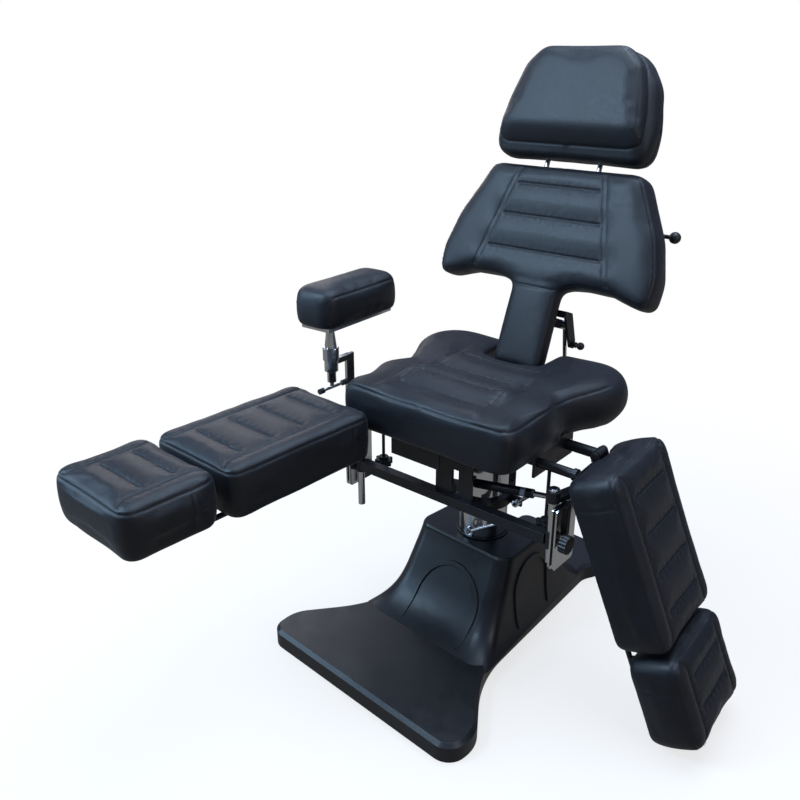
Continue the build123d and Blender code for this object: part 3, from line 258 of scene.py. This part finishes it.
def leather_material():
    p = Paint("leather", (0.012, 0.013, 0.018), 0.42)
    broad, fine = p.noise(9.0, 4.0), p.noise(120.0, 3.0)
    p.mix(p.ramp(broad, 0.3, 0.7, 0, 1), (0.0034, 0.0041, 0.0070), (0.0064, 0.0078, 0.0128))
    p.rough(fine, 0.38, 0.50)
    p.bump(p.noise(26.0, 3.0), 0.0011, 0.5)
    p.bump(p.ramp(p.cells(520.0), 0.0, 0.18, 0, 1), 0.00016, 0.8)
    p.bump(p.noise(900.0, 2.0), 0.00006, 0.6)
    p.shader.inputs["Specular IOR Level"].default_value = 0.44
    p.shader.inputs["Coat Weight"].default_value = 0.10
    p.shader.inputs["Coat Roughness"].default_value = 0.30
    p.shader.inputs["Sheen Weight"].default_value = 0.06
    p.shader.inputs["Sheen Roughness"].default_value = 0.4
    return p.done()


def thread_material():
    p = Paint("thread", (0.016, 0.017, 0.022), 0.62)
    p.mix(p.noise(800.0), (0.010, 0.011, 0.015), (0.030, 0.032, 0.040))
    p.bump(p.noise(2600.0), 0.00008)
    return p.done()


def plastic_material(name, tone, rough, grain, grain_depth):
    p = Paint(name, tone, rough)
    p.rounded(0.0016)
    dark = tuple(c * 0.75 for c in tone)
    p.mix(p.ramp(p.noise(5.0, 5.0), 0.3, 0.7, 0, 1), dark, tuple(c * 1.35 for c in tone))
    p.rough(p.noise(22.0, 5.0), rough - 0.05, rough + 0.07)
    p.bump(p.noise(4.5, 2.0), 0.0030, 0.5)
    p.bump(p.noise(grain, 3.0), grain_depth, 0.7)
    p.shader.inputs["Specular IOR Level"].default_value = 0.55
    return p.done()


def steel_material():
    p = Paint("powder_coat", (0.014, 0.014, 0.016), 0.36)
    p.rounded(0.0009)
    p.mix(p.ramp(p.noise(30.0, 4.0), 0.35, 0.75, 0, 1), (0.010, 0.010, 0.012), (0.021, 0.021, 0.024))
    p.rough(p.noise(40.0, 4.0), 0.30, 0.44)
    p.bump(p.noise(1500.0, 2.0), 0.00005, 0.6)
    return p.done()


def chrome_material():
    p = Paint("chrome", (0.80, 0.81, 0.83), 0.10, 1.0)
    p.rounded(0.0008)
    p.mix(p.ramp(p.noise(18.0, 4.0), 0.3, 0.7, 0, 1), (0.72, 0.73, 0.75), (0.84, 0.85, 0.87))
    p.rough(p.noise(60.0, 5.0), 0.06, 0.16)
    p.bump(p.noise(7.0, 2.0), 0.0006, 0.3)
    return p.done()


def rubber_material():
    p = Paint("rubber", (0.02, 0.02, 0.022), 0.68)
    p.mix(p.noise(60.0), (0.014, 0.014, 0.015), (0.030, 0.030, 0.032))
    p.bump(p.noise(1200.0), 0.0001)
    return p.done()


def board_material():
    p = Paint("board", (0.03, 0.027, 0.025), 0.7)
    stretch = p.node("ShaderNodeMapping")
    stretch.inputs["Scale"].default_value = (4, 60, 60)
    p.link(p.place, stretch.inputs["Vector"])
    p.place = stretch.outputs["Vector"]
    grain = p.noise(3.0, 6.0)
    p.mix(grain, (0.012, 0.011, 0.010), (0.035, 0.030, 0.027))
    p.bump(grain, 0.0004)
    return p.done()


LEATHER = leather_material()
THREAD = thread_material()
BASE = plastic_material("moulded_shell", (0.012, 0.0125, 0.0145), 0.34, 700.0, 0.00012)
PLASTIC = plastic_material("moulded_plastic", (0.015, 0.015, 0.017), 0.40, 900.0, 0.00008)
STEEL = steel_material()
CHROME = chrome_material()
RUBBER = rubber_material()
BOARD = board_material()


def dress_nodes():
    by_slot = {"black_leather": LEATHER, "black_plastic": PLASTIC, "black_steel": STEEL,
               "chrome": CHROME, "board": BOARD}
    special = {"base_cover": BASE, "column_ring": STEEL, "armrest_tee_tips": RUBBER, "pump_pedal": RUBBER}
    for part in frame["record"]["subparts"]:
        item = nodes[part["node"]]
        material = special.get(part["node"], by_slot[part["material_slot"]])
        item.data.materials.clear()
        item.data.materials.append(material)
        for face in item.data.polygons:
            face.material_index = 0


# Padded pieces

# Sewn channels: half width of the crease, pitch and place of the gathers, and how the ends fade out
CREASE = 0.0026
GATHER_PITCH = 0.021
GATHER_PLACE = 0.007
END_FADE = 0.012
# Share of a channel's depth that the crease has, the rest being the broad dip
CREASE_SHARE = 0.62
FILL_FRAMES = 20
# How far a deep seam holds the swelling cover down
ANCHOR_REACH = 0.03
# Height above the flat underside over which the cover starts to swell
HOLD_HEIGHT = 0.02
THREAD_SIDES = 5


def points_of(item):
    flat = np.empty(len(item.data.vertices) * 3, np.float64)
    item.data.vertices.foreach_get("co", flat)
    return flat.reshape(-1, 3)


def set_points(item, points):
    item.data.vertices.foreach_set("co", points.astype(np.float32).ravel())
    item.data.update()


def normals_of(item):
    flat = np.empty(len(item.data.vertices) * 3, np.float32)
    item.data.vertex_normals.foreach_get("vector", flat)
    return flat.reshape(-1, 3).astype(np.float64)


def apply_modifiers(item):
    graph = bpy.context.evaluated_depsgraph_get()
    baked = bpy.data.meshes.new_from_object(item.evaluated_get(graph))
    item.modifiers.clear()
    item.data = baked


def neighbours(item):
    flat = np.empty(len(item.data.edges) * 2, np.int64)
    item.data.edges.foreach_get("vertices", flat)
    return flat.reshape(-1, 2)


def smooth(item, rounds, share=0.5):
    """Laplacian smoothing that keeps the volume roughly, by a step back after each step."""
    edges = neighbours(item)
    points = points_of(item)
    count = np.zeros(len(points))
    np.add.at(count, edges[:, 0], 1)
    np.add.at(count, edges[:, 1], 1)
    for step in range(rounds * 2):
        total = np.zeros_like(points)
        np.add.at(total, edges[:, 0], points[edges[:, 1]])
        np.add.at(total, edges[:, 1], points[edges[:, 0]])
        factor = share if step % 2 == 0 else -share * 1.04
        points += factor * (total / count[:, None] - points)
    set_points(item, points)


def soften(item, rounds):
    """Rounds the edges over by plain Laplacian smoothing steps."""
    edges = neighbours(item)
    points = points_of(item)
    count = np.zeros(len(points))
    np.add.at(count, edges[:, 0], 1)
    np.add.at(count, edges[:, 1], 1)
    for step in range(rounds):
        total = np.zeros_like(points)
        np.add.at(total, edges[:, 0], points[edges[:, 1]])
        np.add.at(total, edges[:, 1], points[edges[:, 0]])
        points += 0.6 * (total / count[:, None] - points)
    set_points(item, points)


def add_solid(item, corners):
    """Joins a closed block, given by its lower and upper outline, to the mesh before it is remeshed."""
    low, high = corners
    bm = bmesh.new()
    bm.from_mesh(item.data)
    lower = [bm.verts.new(p) for p in low]
    upper = [bm.verts.new(p) for p in high]
    bm.faces.new(list(reversed(lower)))
    bm.faces.new(upper)
    for i in range(len(lower)):
        k = (i + 1) % len(lower)
        bm.faces.new((lower[i], lower[k], upper[k], upper[i]))
    bm.to_mesh(item.data)
    bm.free()


def sample_line(line, step=0.0012):
    """Even samples of a polyline with their distance along it."""
    found, along, run = [], [], 0.0
    for a, b in zip(line[:-1], line[1:]):
        a, b = np.array(a, float), np.array(b, float)
        length = np.linalg.norm(b - a)
        number = max(int(length / step), 1)
        for i in range(number):
            found.append(a + (b - a) * i / number)
            along.append(run + length * i / number)
        run += length
    found.append(np.array(line[-1], float))
    along.append(run)
    return np.array(found), np.array(along)


def snap(item, samples):
    """The samples laid on the surface, with the surface's normals there."""
    tree = BVHTree.FromObject(item, bpy.context.evaluated_depsgraph_get())
    on, normals = [], []
    for s in samples:
        place, normal, _, _ = tree.find_nearest(Vector(s))
        on.append(place)
        normals.append(normal)
    return np.array(on), np.array(normals)


def carve(item, seams):
    """Sewn channels: a fine crease, a broad dip beside it and small gathers along the thread."""
    points, normals = points_of(item), normals_of(item)
    push = np.zeros(len(points))
    for line, depth, width, gather in seams:
        samples, along = sample_line(line)
        on, _ = snap(item, samples)
        tree = KDTree(len(on))
        for i, p in enumerate(on):
            tree.insert(Vector(p), i)
        tree.balance()
        reach = width * 3.2
        low, high = on.min(0) - reach, on.max(0) + reach
        near = np.where(np.all((points >= low) & (points <= high), axis=1))[0]
        for i in near:
            _, index, distance = tree.find(Vector(points[i]))
            if distance > reach:
                continue
            fade = min(along[index], along[-1] - along[index]) / END_FADE
            fade = min(max(fade, 0.25), 1.0)
            crease = math.exp(-(distance / CREASE) ** 2)
            dip = math.exp(-(distance / width) ** 2)
            shift = 3 * noise.noise(Vector(points[i]) * 30)
            wave = math.cos(along[index] * 2 * math.pi / GATHER_PITCH + shift)
            ripple = gather * wave * math.exp(-((distance - GATHER_PLACE) / GATHER_PLACE) ** 2)
            deep = CREASE_SHARE * depth * crease + (1 - CREASE_SHARE) * depth * dip
            push[i] = min(push[i], -deep * fade + ripple)
    set_points(item, points + normals * push[:, None])


def wrinkle(item, size, depth, seed):
    """Slow unevenness of stretched leather."""
    points, normals = points_of(item), normals_of(item)
    offset = Vector((seed * 3.1, seed * 1.7, seed * 5.3))
    push = np.array([noise.noise(Vector(p) / size + offset) for p in points])
    set_points(item, points + normals * (push * depth)[:, None])


def fill_out(item, cap, hold, anchors):
    """Cloth under pressure swells the cover, held back at seams and at the face that is screwed down."""
    before = points_of(item)
    cloth = item.modifiers.new("fill", "CLOTH")
    cloth.settings.quality = 4
    cloth.settings.mass = 0.25
    cloth.settings.tension_stiffness = cloth.settings.compression_stiffness = 18
    cloth.settings.shear_stiffness = 8
    cloth.settings.bending_stiffness = 0.8
    cloth.settings.use_pressure = True
    cloth.settings.uniform_pressure_force = 4.0
    cloth.settings.effector_weights.gravity = 0
    cloth.point_cache.frame_start, cloth.point_cache.frame_end = 1, FILL_FRAMES
    for step in range(1, FILL_FRAMES + 1):
        scene.frame_set(step)
    graph = bpy.context.evaluated_depsgraph_get()
    swollen = bpy.data.meshes.new_from_object(item.evaluated_get(graph))
    item.modifiers.clear()
    flat = np.empty(len(swollen.vertices) * 3, np.float64)
    swollen.vertices.foreach_get("co", flat)
    bpy.data.meshes.remove(swollen)
    scene.frame_set(1)
    move = flat.reshape(-1, 3) - before
    size = np.linalg.norm(move, axis=1)
    move *= (np.minimum(size, cap) / np.maximum(size, 1e-9))[:, None]
    held = [p for line in anchors for p in line]
    if held:
        tree = KDTree(len(held))
        for i, p in enumerate(held):
            tree.insert(Vector(p), i)
        tree.balance()
        distances = [tree.find(Vector(p))[2] for p in before]
        share = np.array([1 - math.exp(-(distance / ANCHOR_REACH) ** 2) for distance in distances])
        move *= share[:, None]
    set_points(item, before + move * (1 - hold(before))[:, None])
    soften(item, 3)


def stitches(name, item, seams, side=0.0032, length=0.0042, pitch=0.0062, radius=0.00042):
    """Short thread runs laid along the seams."""
    bm = bmesh.new()
    for line, offsets in seams:
        samples, along = sample_line(line, pitch)
        on, normals = snap(item, samples)
        for a, b, normal in zip(on[:-1], on[1:], normals[:-1]):
            run = Vector(b - a)
            if run.length < 1e-5:
                continue
            run.normalize()
            across = run.cross(Vector(normal)).normalized()
            for share in offsets:
                middle = Vector((a + b) / 2) + across * side * share + Vector(normal) * radius * 0.3
                ring = []
                for end, thick in ((-0.5, 0.25), (-0.3, 1.0), (0.3, 1.0), (0.5, 0.25)):
                    corners = []
                    for k in range(THREAD_SIDES):
                        angle = 2 * math.pi * k / THREAD_SIDES
                        spot = across * math.cos(angle) + Vector(normal) * math.sin(angle)
                        corners.append(bm.verts.new(middle + run * end * length + spot * radius * thick))
                    ring.append(corners)
                for r0, r1 in zip(ring[:-1], ring[1:]):
                    for k in range(THREAD_SIDES):
                        n = (k + 1) % THREAD_SIDES
                        bm.faces.new((r0[k], r0[n], r1[n], r1[k]))
    mesh = bpy.data.meshes.new(name)
    bm.to_mesh(mesh)
    bm.free()
    mesh.shade_smooth()
    thread = bpy.data.objects.new(name, mesh)
    scene.collection.objects.link(thread)
    mesh.materials.append(THREAD)
    return thread


class Sewing:
    """The channels of one cushion and the threads in them. Sides are offsets across the line."""

    def __init__(self):
        self.seams, self.threads = [], []

    def add(self, line, depth, width, gather=0.0, sides=()):
        self.seams.append((line, depth, width, gather))
        if sides:
            self.threads.append((line, sides))


def upholster(name, node, body, local, sewing, cap=0.005, shrink=0.001, bottom=None,
              seed=1, voxel=0.006, smoothing=8, depth=0.0007, keep_clear=None, extra=None):
    """The padded piece that stands for a CAD cushion, made from the cushion's own mesh.

    Lines are given in the local frame. Bottom is the height there of a flat underside, extra a block
    joined to the mesh first, and keep_clear a last limit on the points.
    """
    mesh = nodes[node].data.copy()
    item = bpy.data.objects.new(name, mesh)
    scene.collection.objects.link(item)
    if extra is not None:
        add_solid(item, extra)
    remesh = item.modifiers.new("even", "REMESH")
    remesh.mode, remesh.voxel_size, remesh.use_smooth_shade = "VOXEL", voxel, True
    apply_modifiers(item)
    soften(item, smoothing)
    set_points(item, points_of(item) - normals_of(item) * shrink)
    inverse = np.array(local.inverted())

    def heights(points):
        return points @ inverse[2, :3] + inverse[2, 3]

    def hold(points):
        if bottom is None:
            return np.zeros(len(points))
        return np.clip(1 - (heights(points) - bottom) / HOLD_HEIGHT, 0, 1)

    def to_world(line):
        return [tuple(local @ Vector(p)) for p in line]

    world_seams = [(to_world(line), d, w, g) for line, d, w, g in sewing.seams]
    anchors = [sample_line(line, 0.006)[0] for line, d, w, g in world_seams if d >= 0.003]
    fill_out(item, cap, hold, anchors)
    fine = item.modifiers.new("fine", "SUBSURF")
    fine.levels = fine.render_levels = 1
    apply_modifiers(item)
    smooth(item, 2)
    wrinkle(item, 0.07, depth, seed)
    carve(item, world_seams)
    points = points_of(item)
    if bottom is not None:
        lift = np.clip(bottom + 0.0004 - heights(points), 0, HOLD_HEIGHT)
        points += lift[:, None] * np.array(local.to_3x3() @ Vector((0, 0, 1)))
    if keep_clear is not None:
        points = keep_clear(points)
    set_points(item, points)
    item.data.materials.clear()
    item.data.materials.append(LEATHER)
    item.data.shade_smooth()
    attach(item, body)
    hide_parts(node)
    world_threads = [(to_world(line), sides) for line, sides in sewing.threads]
    thread = stitches(name + "_stitching", item, world_threads)
    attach(thread, body)


def straight(*points):
    return [tuple(c * MM for c in p) for p in points]


def loop(half, y0, y1, corner, z, steps=6):
    """Rounded rectangle at one height, closed, in millimetres."""
    found = []
    for cx, cy, start in ((half - corner, y1 - corner, 0), (-half + corner, y1 - corner, 90),
                          (-half + corner, y0 + corner, 180), (half - corner, y0 + corner, 270)):
        for i in range(steps + 1):
            angle = math.radians(start + 90 * i / steps)
            found.append((cx + corner * math.cos(angle), cy + corner * math.sin(angle), z))
    found.append(found[0])
    return straight(*found)


# Leg rests

# The leg rests' joints and cushions as the source has them, in millimetres
POST = (280, -154)
ARM_LENGTH = 131.7
YOKE_HEIGHT = 530.0
HINGE = (-38.5, 5, 118)
CALF = {"half": 142, "length": 404, "ribs": (72.7, 157.6, 242.4, 327.2), "panel": 90, "corner": 34}
FOOT = {"half": 136, "length": 217, "ribs": (65.1, 136.7), "panel": 86, "corner": 36}
PAD_DEPTH = 107
FOOT_GAP = 10
FOOT_RISE = 8
# Side, then swing, turn and drop in degrees, then rise and foot slide in millimetres
LEG_POSES = {"left": (-1, 0.74, 1.16, 0.0, 0.0, 0.0), "right": (1, 165.67, -72.87, 66.7, 44.7, -4.0)}
# How far the cover comes down round the board, and the band of the side that stretches for it
WRAP = 0.0121
WRAP_FROM = -0.080
WRAP_BAND = 0.022
# The window in the cover for the drop hinge
WINDOW_X = 0.0385
WINDOW_HALF = 0.040
WINDOW_REACH = 0.084
WINDOW_BLEND = 0.008
# Both ends of a pad are held back, so that its neighbour stays clear
END_MARGIN = 0.0015
END_SHARE = 0.85


def leg_frames(side, swing, turn, drop, rise, slide):
    """Local frames of the calf and foot cushions: the top is at z 0 and the cushion runs along -y."""
    def shift(x, y, z):
        return Matrix.Translation((x * MM, y * MM, z * MM))

    def about(axis, degrees):
        return Matrix.Rotation(math.radians(degrees), 4, axis)

    calf = (shift(*POST, 0) @ about("Z", swing) @ shift(0, -ARM_LENGTH, rise) @ about("Z", turn)
            @ shift(0, 0, YOKE_HEIGHT) @ about("X", drop) @ shift(*HINGE))
    foot = calf @ shift(0, -slide - CALF["length"] - FOOT_GAP, FOOT_RISE)
    mirror = Matrix.Scale(-1, 4, (1, 0, 0)) if side < 0 else Matrix.Identity(4)
    return mirror @ calf, mirror @ foot


def pad_seams(half, length, ribs, panel, corner):
    """Two long seams that curve out at the ends, cross ribs, the cover's edge seam and the zips."""
    sewing = Sewing()
    for side in (-1, 1):
        x = side * panel
        line = straight((x + side * 16, -4, 0), (x + side * 6, -18, 0), (x, -34, 0), (x, -length + 34, 0),
                        (x + side * 6, -length + 18, 0), (x + side * 16, -length + 4, 0))
        sewing.add(line, 0.0046, 0.010, 0.0004, (side,))
    for rib in ribs:
        line = straight((-panel + 10, -rib, 0), (panel - 10, -rib, 0))
        sewing.add(line, 0.0062, 0.013, 0.0005, (-1, 1))
    sewing.add(loop(half - 2, -length + 2, -2, corner, -12), 0.0020, 0.004, 0.0, (1,))
    for side in (-1, 1):
        x = side * half
        sewing.add(straight((x, -70, -14), (x, -70, -PAD_DEPTH + 8)), 0.0020, 0.004)
        for z in (-PAD_DEPTH / 2 - 5, -PAD_DEPTH / 2 + 5):
            sewing.add(straight((x, -66, z), (x, -corner, z)), 0.0026, 0.0035)
    return sewing


def wrap_board(local, length, hinged=True):
    """Takes the cover down round the board's edge, with room at the drop hinge and at both ends."""
    inverse = np.array(local.inverted())
    down = np.array(local.to_3x3() @ Vector((0, 0, -WRAP)))
    forward = np.array(local.to_3x3() @ Vector((0, 1, 0)))

    def wrap(points):
        flat = points @ inverse[:3, :3].T + inverse[:3, 3]
        share = np.clip((WRAP_FROM - flat[:, 2]) / WRAP_BAND, 0, 1)
        if hinged:
            near = np.clip((WINDOW_HALF - np.abs(flat[:, 0] - WINDOW_X)) / WINDOW_BLEND, 0, 1)
            share *= 1 - near * np.clip((flat[:, 1] + WINDOW_REACH) / WINDOW_BLEND, 0, 1)
        over = np.maximum(END_MARGIN - length - flat[:, 1], 0) - np.maximum(flat[:, 1] + END_MARGIN, 0)
        return points + share[:, None] * down + END_SHARE * over[:, None] * forward

    return wrap


def leg_cushions():
    for name, pose in LEG_POSES.items():
        calf, foot = leg_frames(*pose)
        upholster("calf_pad_" + name, "calf_cushion_" + name, name + "_calf", calf, pad_seams(**CALF),
                  bottom=-PAD_DEPTH * MM, seed=len(name),
                  keep_clear=wrap_board(calf, CALF["length"] * MM))
        upholster("foot_pad_" + name, "foot_cushion_" + name, name + "_foot", foot, pad_seams(**FOOT),
                  bottom=-PAD_DEPTH * MM, seed=len(name) + 3,
                  keep_clear=wrap_board(foot, FOOT["length"] * MM, False))


# Seat

# Plan of the seat's front half on the +X side, in millimetres: the edge seam and the straight sides
SEAT_EDGE = [(0, -274), (160, -274), (204, -268), (224, -250), (230, -225), (229, -170), (224, -66),
             (230, -20), (246, 20), (264, 55), (278, 92)]
SEAT_SIDES = [(200, -271.5), (218, -266), (229, -252), (233.5, -230), (234, -170), (231, -66), (233, -40)]
SEAT_TOP = 689
SEAT_UNDER = 0.5755
SEAT_SHOULDER = 0.664
PANEL_HALF = 124.5
PANEL_ENDS = (-187, 76)
RIB_HALF = 112
SEAT_RIBS = (-124, -37, 47)
# The opening for the back's stem
OPENING_HALF = 0.0795
OPENING_FRONT = 0.0845
# How high the margins beside the panel may swell, at the front and at the rear
MARGIN_Y = (-0.05, 0.07)
MARGIN_TOP = (0.685, 0.698)
MARGIN_FROM = 0.125
MARGIN_BLEND = 0.02


def seat_seams():
    sewing = Sewing()
    for side in (-1, 1):
        line = straight(*[(side * PANEL_HALF, y, SEAT_TOP) for y in PANEL_ENDS])
        sewing.add(line, 0.0042, 0.013, 0.0004, (-side,))
        edge = straight(*[(side * x, y, 679 if y < 0 else 679 + y * 0.16) for x, y in SEAT_EDGE])
        sewing.add(edge, 0.0024, 0.005, 0.0, (side,))
    front = straight((-PANEL_HALF, PANEL_ENDS[0], SEAT_TOP), (PANEL_HALF, PANEL_ENDS[0], SEAT_TOP))
    sewing.add(front, 0.0036, 0.012, 0.0003, (1,))
    for y in SEAT_RIBS:
        line = straight((-RIB_HALF, y, SEAT_TOP), (RIB_HALF, y, SEAT_TOP))
        sewing.add(line, 0.0052, 0.018, 0.0005, (-1, 1))
    return sewing


def seat_limits(points):
    """Keeps the cover out of the stem's opening and presses the margins beside the panel down."""
    inside = (np.abs(points[:, 0]) < OPENING_HALF) & (points[:, 1] > OPENING_FRONT)
    points[inside, 1] = np.minimum(points[inside, 1], OPENING_FRONT)
    over = np.maximum(points[:, 2] - np.interp(points[:, 1], MARGIN_Y, MARGIN_TOP), 0)
    outer = np.clip((np.abs(points[:, 0]) - MARGIN_FROM) / MARGIN_BLEND, 0, 1)
    points[:, 2] -= over * 0.75 * outer
    return points


def seat_cushion():
    mirrored = [(-x, y) for x, y in reversed(SEAT_SIDES)]
    plan = mirrored[-1:] + SEAT_SIDES + mirrored[:-1]
    low = [(x * 0.985 * MM, y * 0.993 * MM, SEAT_UNDER) for x, y in plan]
    high = [(x * MM, y * MM, SEAT_SHOULDER) for x, y in plan]
    upholster("seat_pad", "seat_cushion", "seat", Matrix.Identity(4), seat_seams(), cap=0.004,
              shrink=0.0005, bottom=SEAT_UNDER, seed=9, depth=0.0010, smoothing=9,
              keep_clear=seat_limits, extra=(low, high))


# Back and headrest

# Where the back's plane starts and how far it leans back. Outlines lie in that plane, for the +X side
BACK_FOOT = (0, 0.1018, 0.6766)
BACK_LEAN = 21.1
BACK_EDGE = [(78, 198), (116, 208), (200, 208), (276, 190), (292, 200), (298, 255), (272, 346), (236, 418),
             (210, 466), (190, 483), (60, 485), (0, 485)]
BACK_EDGE_DEPTH = -8
# The panel's long seams run from its lower to its upper corner, in pairs
PANEL_LOW = (187, 205)
PANEL_HIGH = (112, 487)
PAIR_GAP = 3.2
BACK_RIBS = (275, 359, 436)
RIB_START = 211
HEAD_STEP = [(0, 536), (160, 536), (186, 548), (184, 600), (172, 655), (148, 722), (110, 760),
             (0, 762)]
HEAD_STEP_DEPTH = 6
HEAD_REAR = [(0, 498), (176, 498), (208, 520), (213, 590), (190, 690), (150, 748), (110, 766), (0, 768)]
HEAD_REAR_DEPTH = -36
HEAD_FRONT = [(182, 560, 34), (178, 600, 36), (164, 665, 36), (144, 718, 36), (104, 754, 35),
              (0, 758, 35)]


def back_local():
    lean = math.radians(BACK_LEAN)
    up = Vector((0, math.sin(lean), math.cos(lean)))
    front = Vector((0, -math.cos(lean), math.sin(lean)))
    turn = Matrix((Vector((1, 0, 0)), up, front)).transposed().to_4x4()
    return Matrix.Translation(BACK_FOOT) @ turn


def on_side(side, outline, depth):
    return straight(*[(side * x, y, depth) for x, y in outline])


def back_cushion():
    sewing = Sewing()
    for side in (-1, 1):
        for gap in (-PAIR_GAP, PAIR_GAP):
            line = on_side(side, [(x + gap, y) for x, y in (PANEL_LOW, PANEL_HIGH)], 0)
            sewing.add(line, 0.0026, 0.009, 0.0, (side if gap > 0 else -side,))
        sewing.add(on_side(side, BACK_EDGE, BACK_EDGE_DEPTH), 0.0018, 0.004, 0.0, (side,))
    narrowing = PANEL_HIGH[0] - PANEL_LOW[0]
    for v in BACK_RIBS:
        half = PANEL_LOW[0] + narrowing * (v - RIB_START) / (PANEL_HIGH[1] - RIB_START) - 6
        sewing.add(straight((-half, v, 0), (half, v, 0)), 0.0046, 0.013, 0.0003, (-1, 1))
    sewing.add(straight((-68, 190, 0), (68, 190, 0)), 0.0022, 0.006, 0.0, (1,))
    upholster("back_pad", "back_cushion", "back", back_local(), sewing, cap=0.004, shrink=0.0025,
              seed=4, depth=0.0006, smoothing=10)


def head_cushion():
    sewing = Sewing()
    for side in (-1, 1):
        sewing.add(on_side(side, HEAD_STEP, HEAD_STEP_DEPTH), 0.0030, 0.006)
        sewing.add(on_side(side, HEAD_REAR, HEAD_REAR_DEPTH), 0.0014, 0.004, 0.0, (side,))
        front = straight(*[(side * x, y, z) for x, y, z in HEAD_FRONT])
        sewing.add(front, 0.0012, 0.004, 0.0, (side,))
    upholster("head_pad", "head_cushion", "headrest", back_local(), sewing, cap=0.004, shrink=0.0025,
              seed=6, depth=0.0006, smoothing=14)


# Armrest

# The foot of the cushion's middle in metres and its turn in degrees
ARMREST_FOOT = (-0.3306, -0.1358, 0.7893)
ARMREST_TURN = 3
# The cushion's corners, as width from the middle, length from the middle and height, from top to bottom
ARMREST_CORNER = [(57, 118, 76), (57, 127, 66), (56, 130, 50), (56, 130, 6)]


def armrest_cushion():
    turn = Matrix.Translation(ARMREST_FOOT) @ Matrix.Rotation(math.radians(ARMREST_TURN), 4, "Z")
    x, y, z = ARMREST_CORNER[0]
    sewing = Sewing()
    for side in (-1, 1):
        sewing.add(straight((side * x, -y, z), (side * x, y, z)), 0.0018, 0.004, 0.0, (side,))
        for end in (-1, 1):
            drop = straight(*[(side * u, end * v, w) for u, v, w in ARMREST_CORNER])
            sewing.add(drop, 0.0014, 0.004, 0.0, (side * end,))
    upholster("armrest_pad", "armrest_cushion", "armrest_top", turn, sewing, cap=0.004, shrink=-0.004,
              bottom=0.0, seed=2, voxel=0.005)


# Small parts that only show close up

# Ends of the gas spring's tube, and the band on it that stays bare
SPRING_START = Vector((0.042, -0.101, 0.437))
SPRING_END = Vector((0.287, -0.084, 0.471))
STICKER_BAND = (0.50, 0.55)
STICKER_RADIUS = 0.01112
HANGER = (0.2142, 0.022, 0.552)
WASHER = 0.0014


def turned(name, body, material, start, end, profile, sides=24):
    """A turned piece along a line: profile is (share along the line, radius)."""
    start, end = Vector(start), Vector(end)
    along = end - start
    across = along.orthogonal().normalized()
    other = along.normalized().cross(across)
    bm = bmesh.new()
    rings = []
    for share, radius in profile:
        ring = []
        for k in range(sides):
            angle = 2 * math.pi * k / sides
            spot = across * math.cos(angle) + other * math.sin(angle)
            ring.append(bm.verts.new(start + along * share + spot * radius))
        rings.append(ring)
    for a, b in zip(rings[:-1], rings[1:]):
        for k in range(sides):
            bm.faces.new((a[k], a[(k + 1) % sides], b[(k + 1) % sides], b[k]))
    bm.faces.new(list(reversed(rings[0])))
    bm.faces.new(rings[-1])
    bmesh.ops.recalc_face_normals(bm, faces=bm.faces)
    mesh = bpy.data.meshes.new(name)
    bm.to_mesh(mesh)
    bm.free()
    if sides > 8:
        mesh.shade_smooth()
        mesh.set_sharp_from_angle(angle=math.radians(35))
    made = bpy.data.objects.new(name, mesh)
    scene.collection.objects.link(made)
    mesh.materials.append(material)
    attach(made, body)
    return made


def bolt(name, body, place, direction, size=0.0065, proud=0.005):
    """Hexagon head on a round washer."""
    place, direction = Vector(place), Vector(direction).normalized()
    seat = place + direction * WASHER
    turned(name + "_washer", body, CHROME, place, seat, [(0, size * 1.45), (1, size * 1.45)])
    turned(name + "_head", body, CHROME, seat, place + direction * proud,
           [(0, size), (0.8, size), (1, size * 0.86)], 6)


def small_parts():
    label = plastic_material("bare_label", (0.42, 0.43, 0.45), 0.35, 600.0, 0.00002)
    start, end = (SPRING_START.lerp(SPRING_END, share) for share in STICKER_BAND)
    turned("spring_sticker", "seat", label, start, end,
           [(0, STICKER_RADIUS), (1, STICKER_RADIUS)], 32)
    for name, side in (("hanger_bolt_right", -1), ("hanger_bolt_left", 1)):
        bolt(name, "seat", (side * HANGER[0], HANGER[1], HANGER[2]), (side, 0, 0))


make_camera()
make_world()
make_floor()
make_lights()
dress_nodes()
leg_cushions()
seat_cushion()
back_cushion()
head_cushion()
armrest_cushion()
small_parts()
scene.view_settings.view_transform = "Standard"
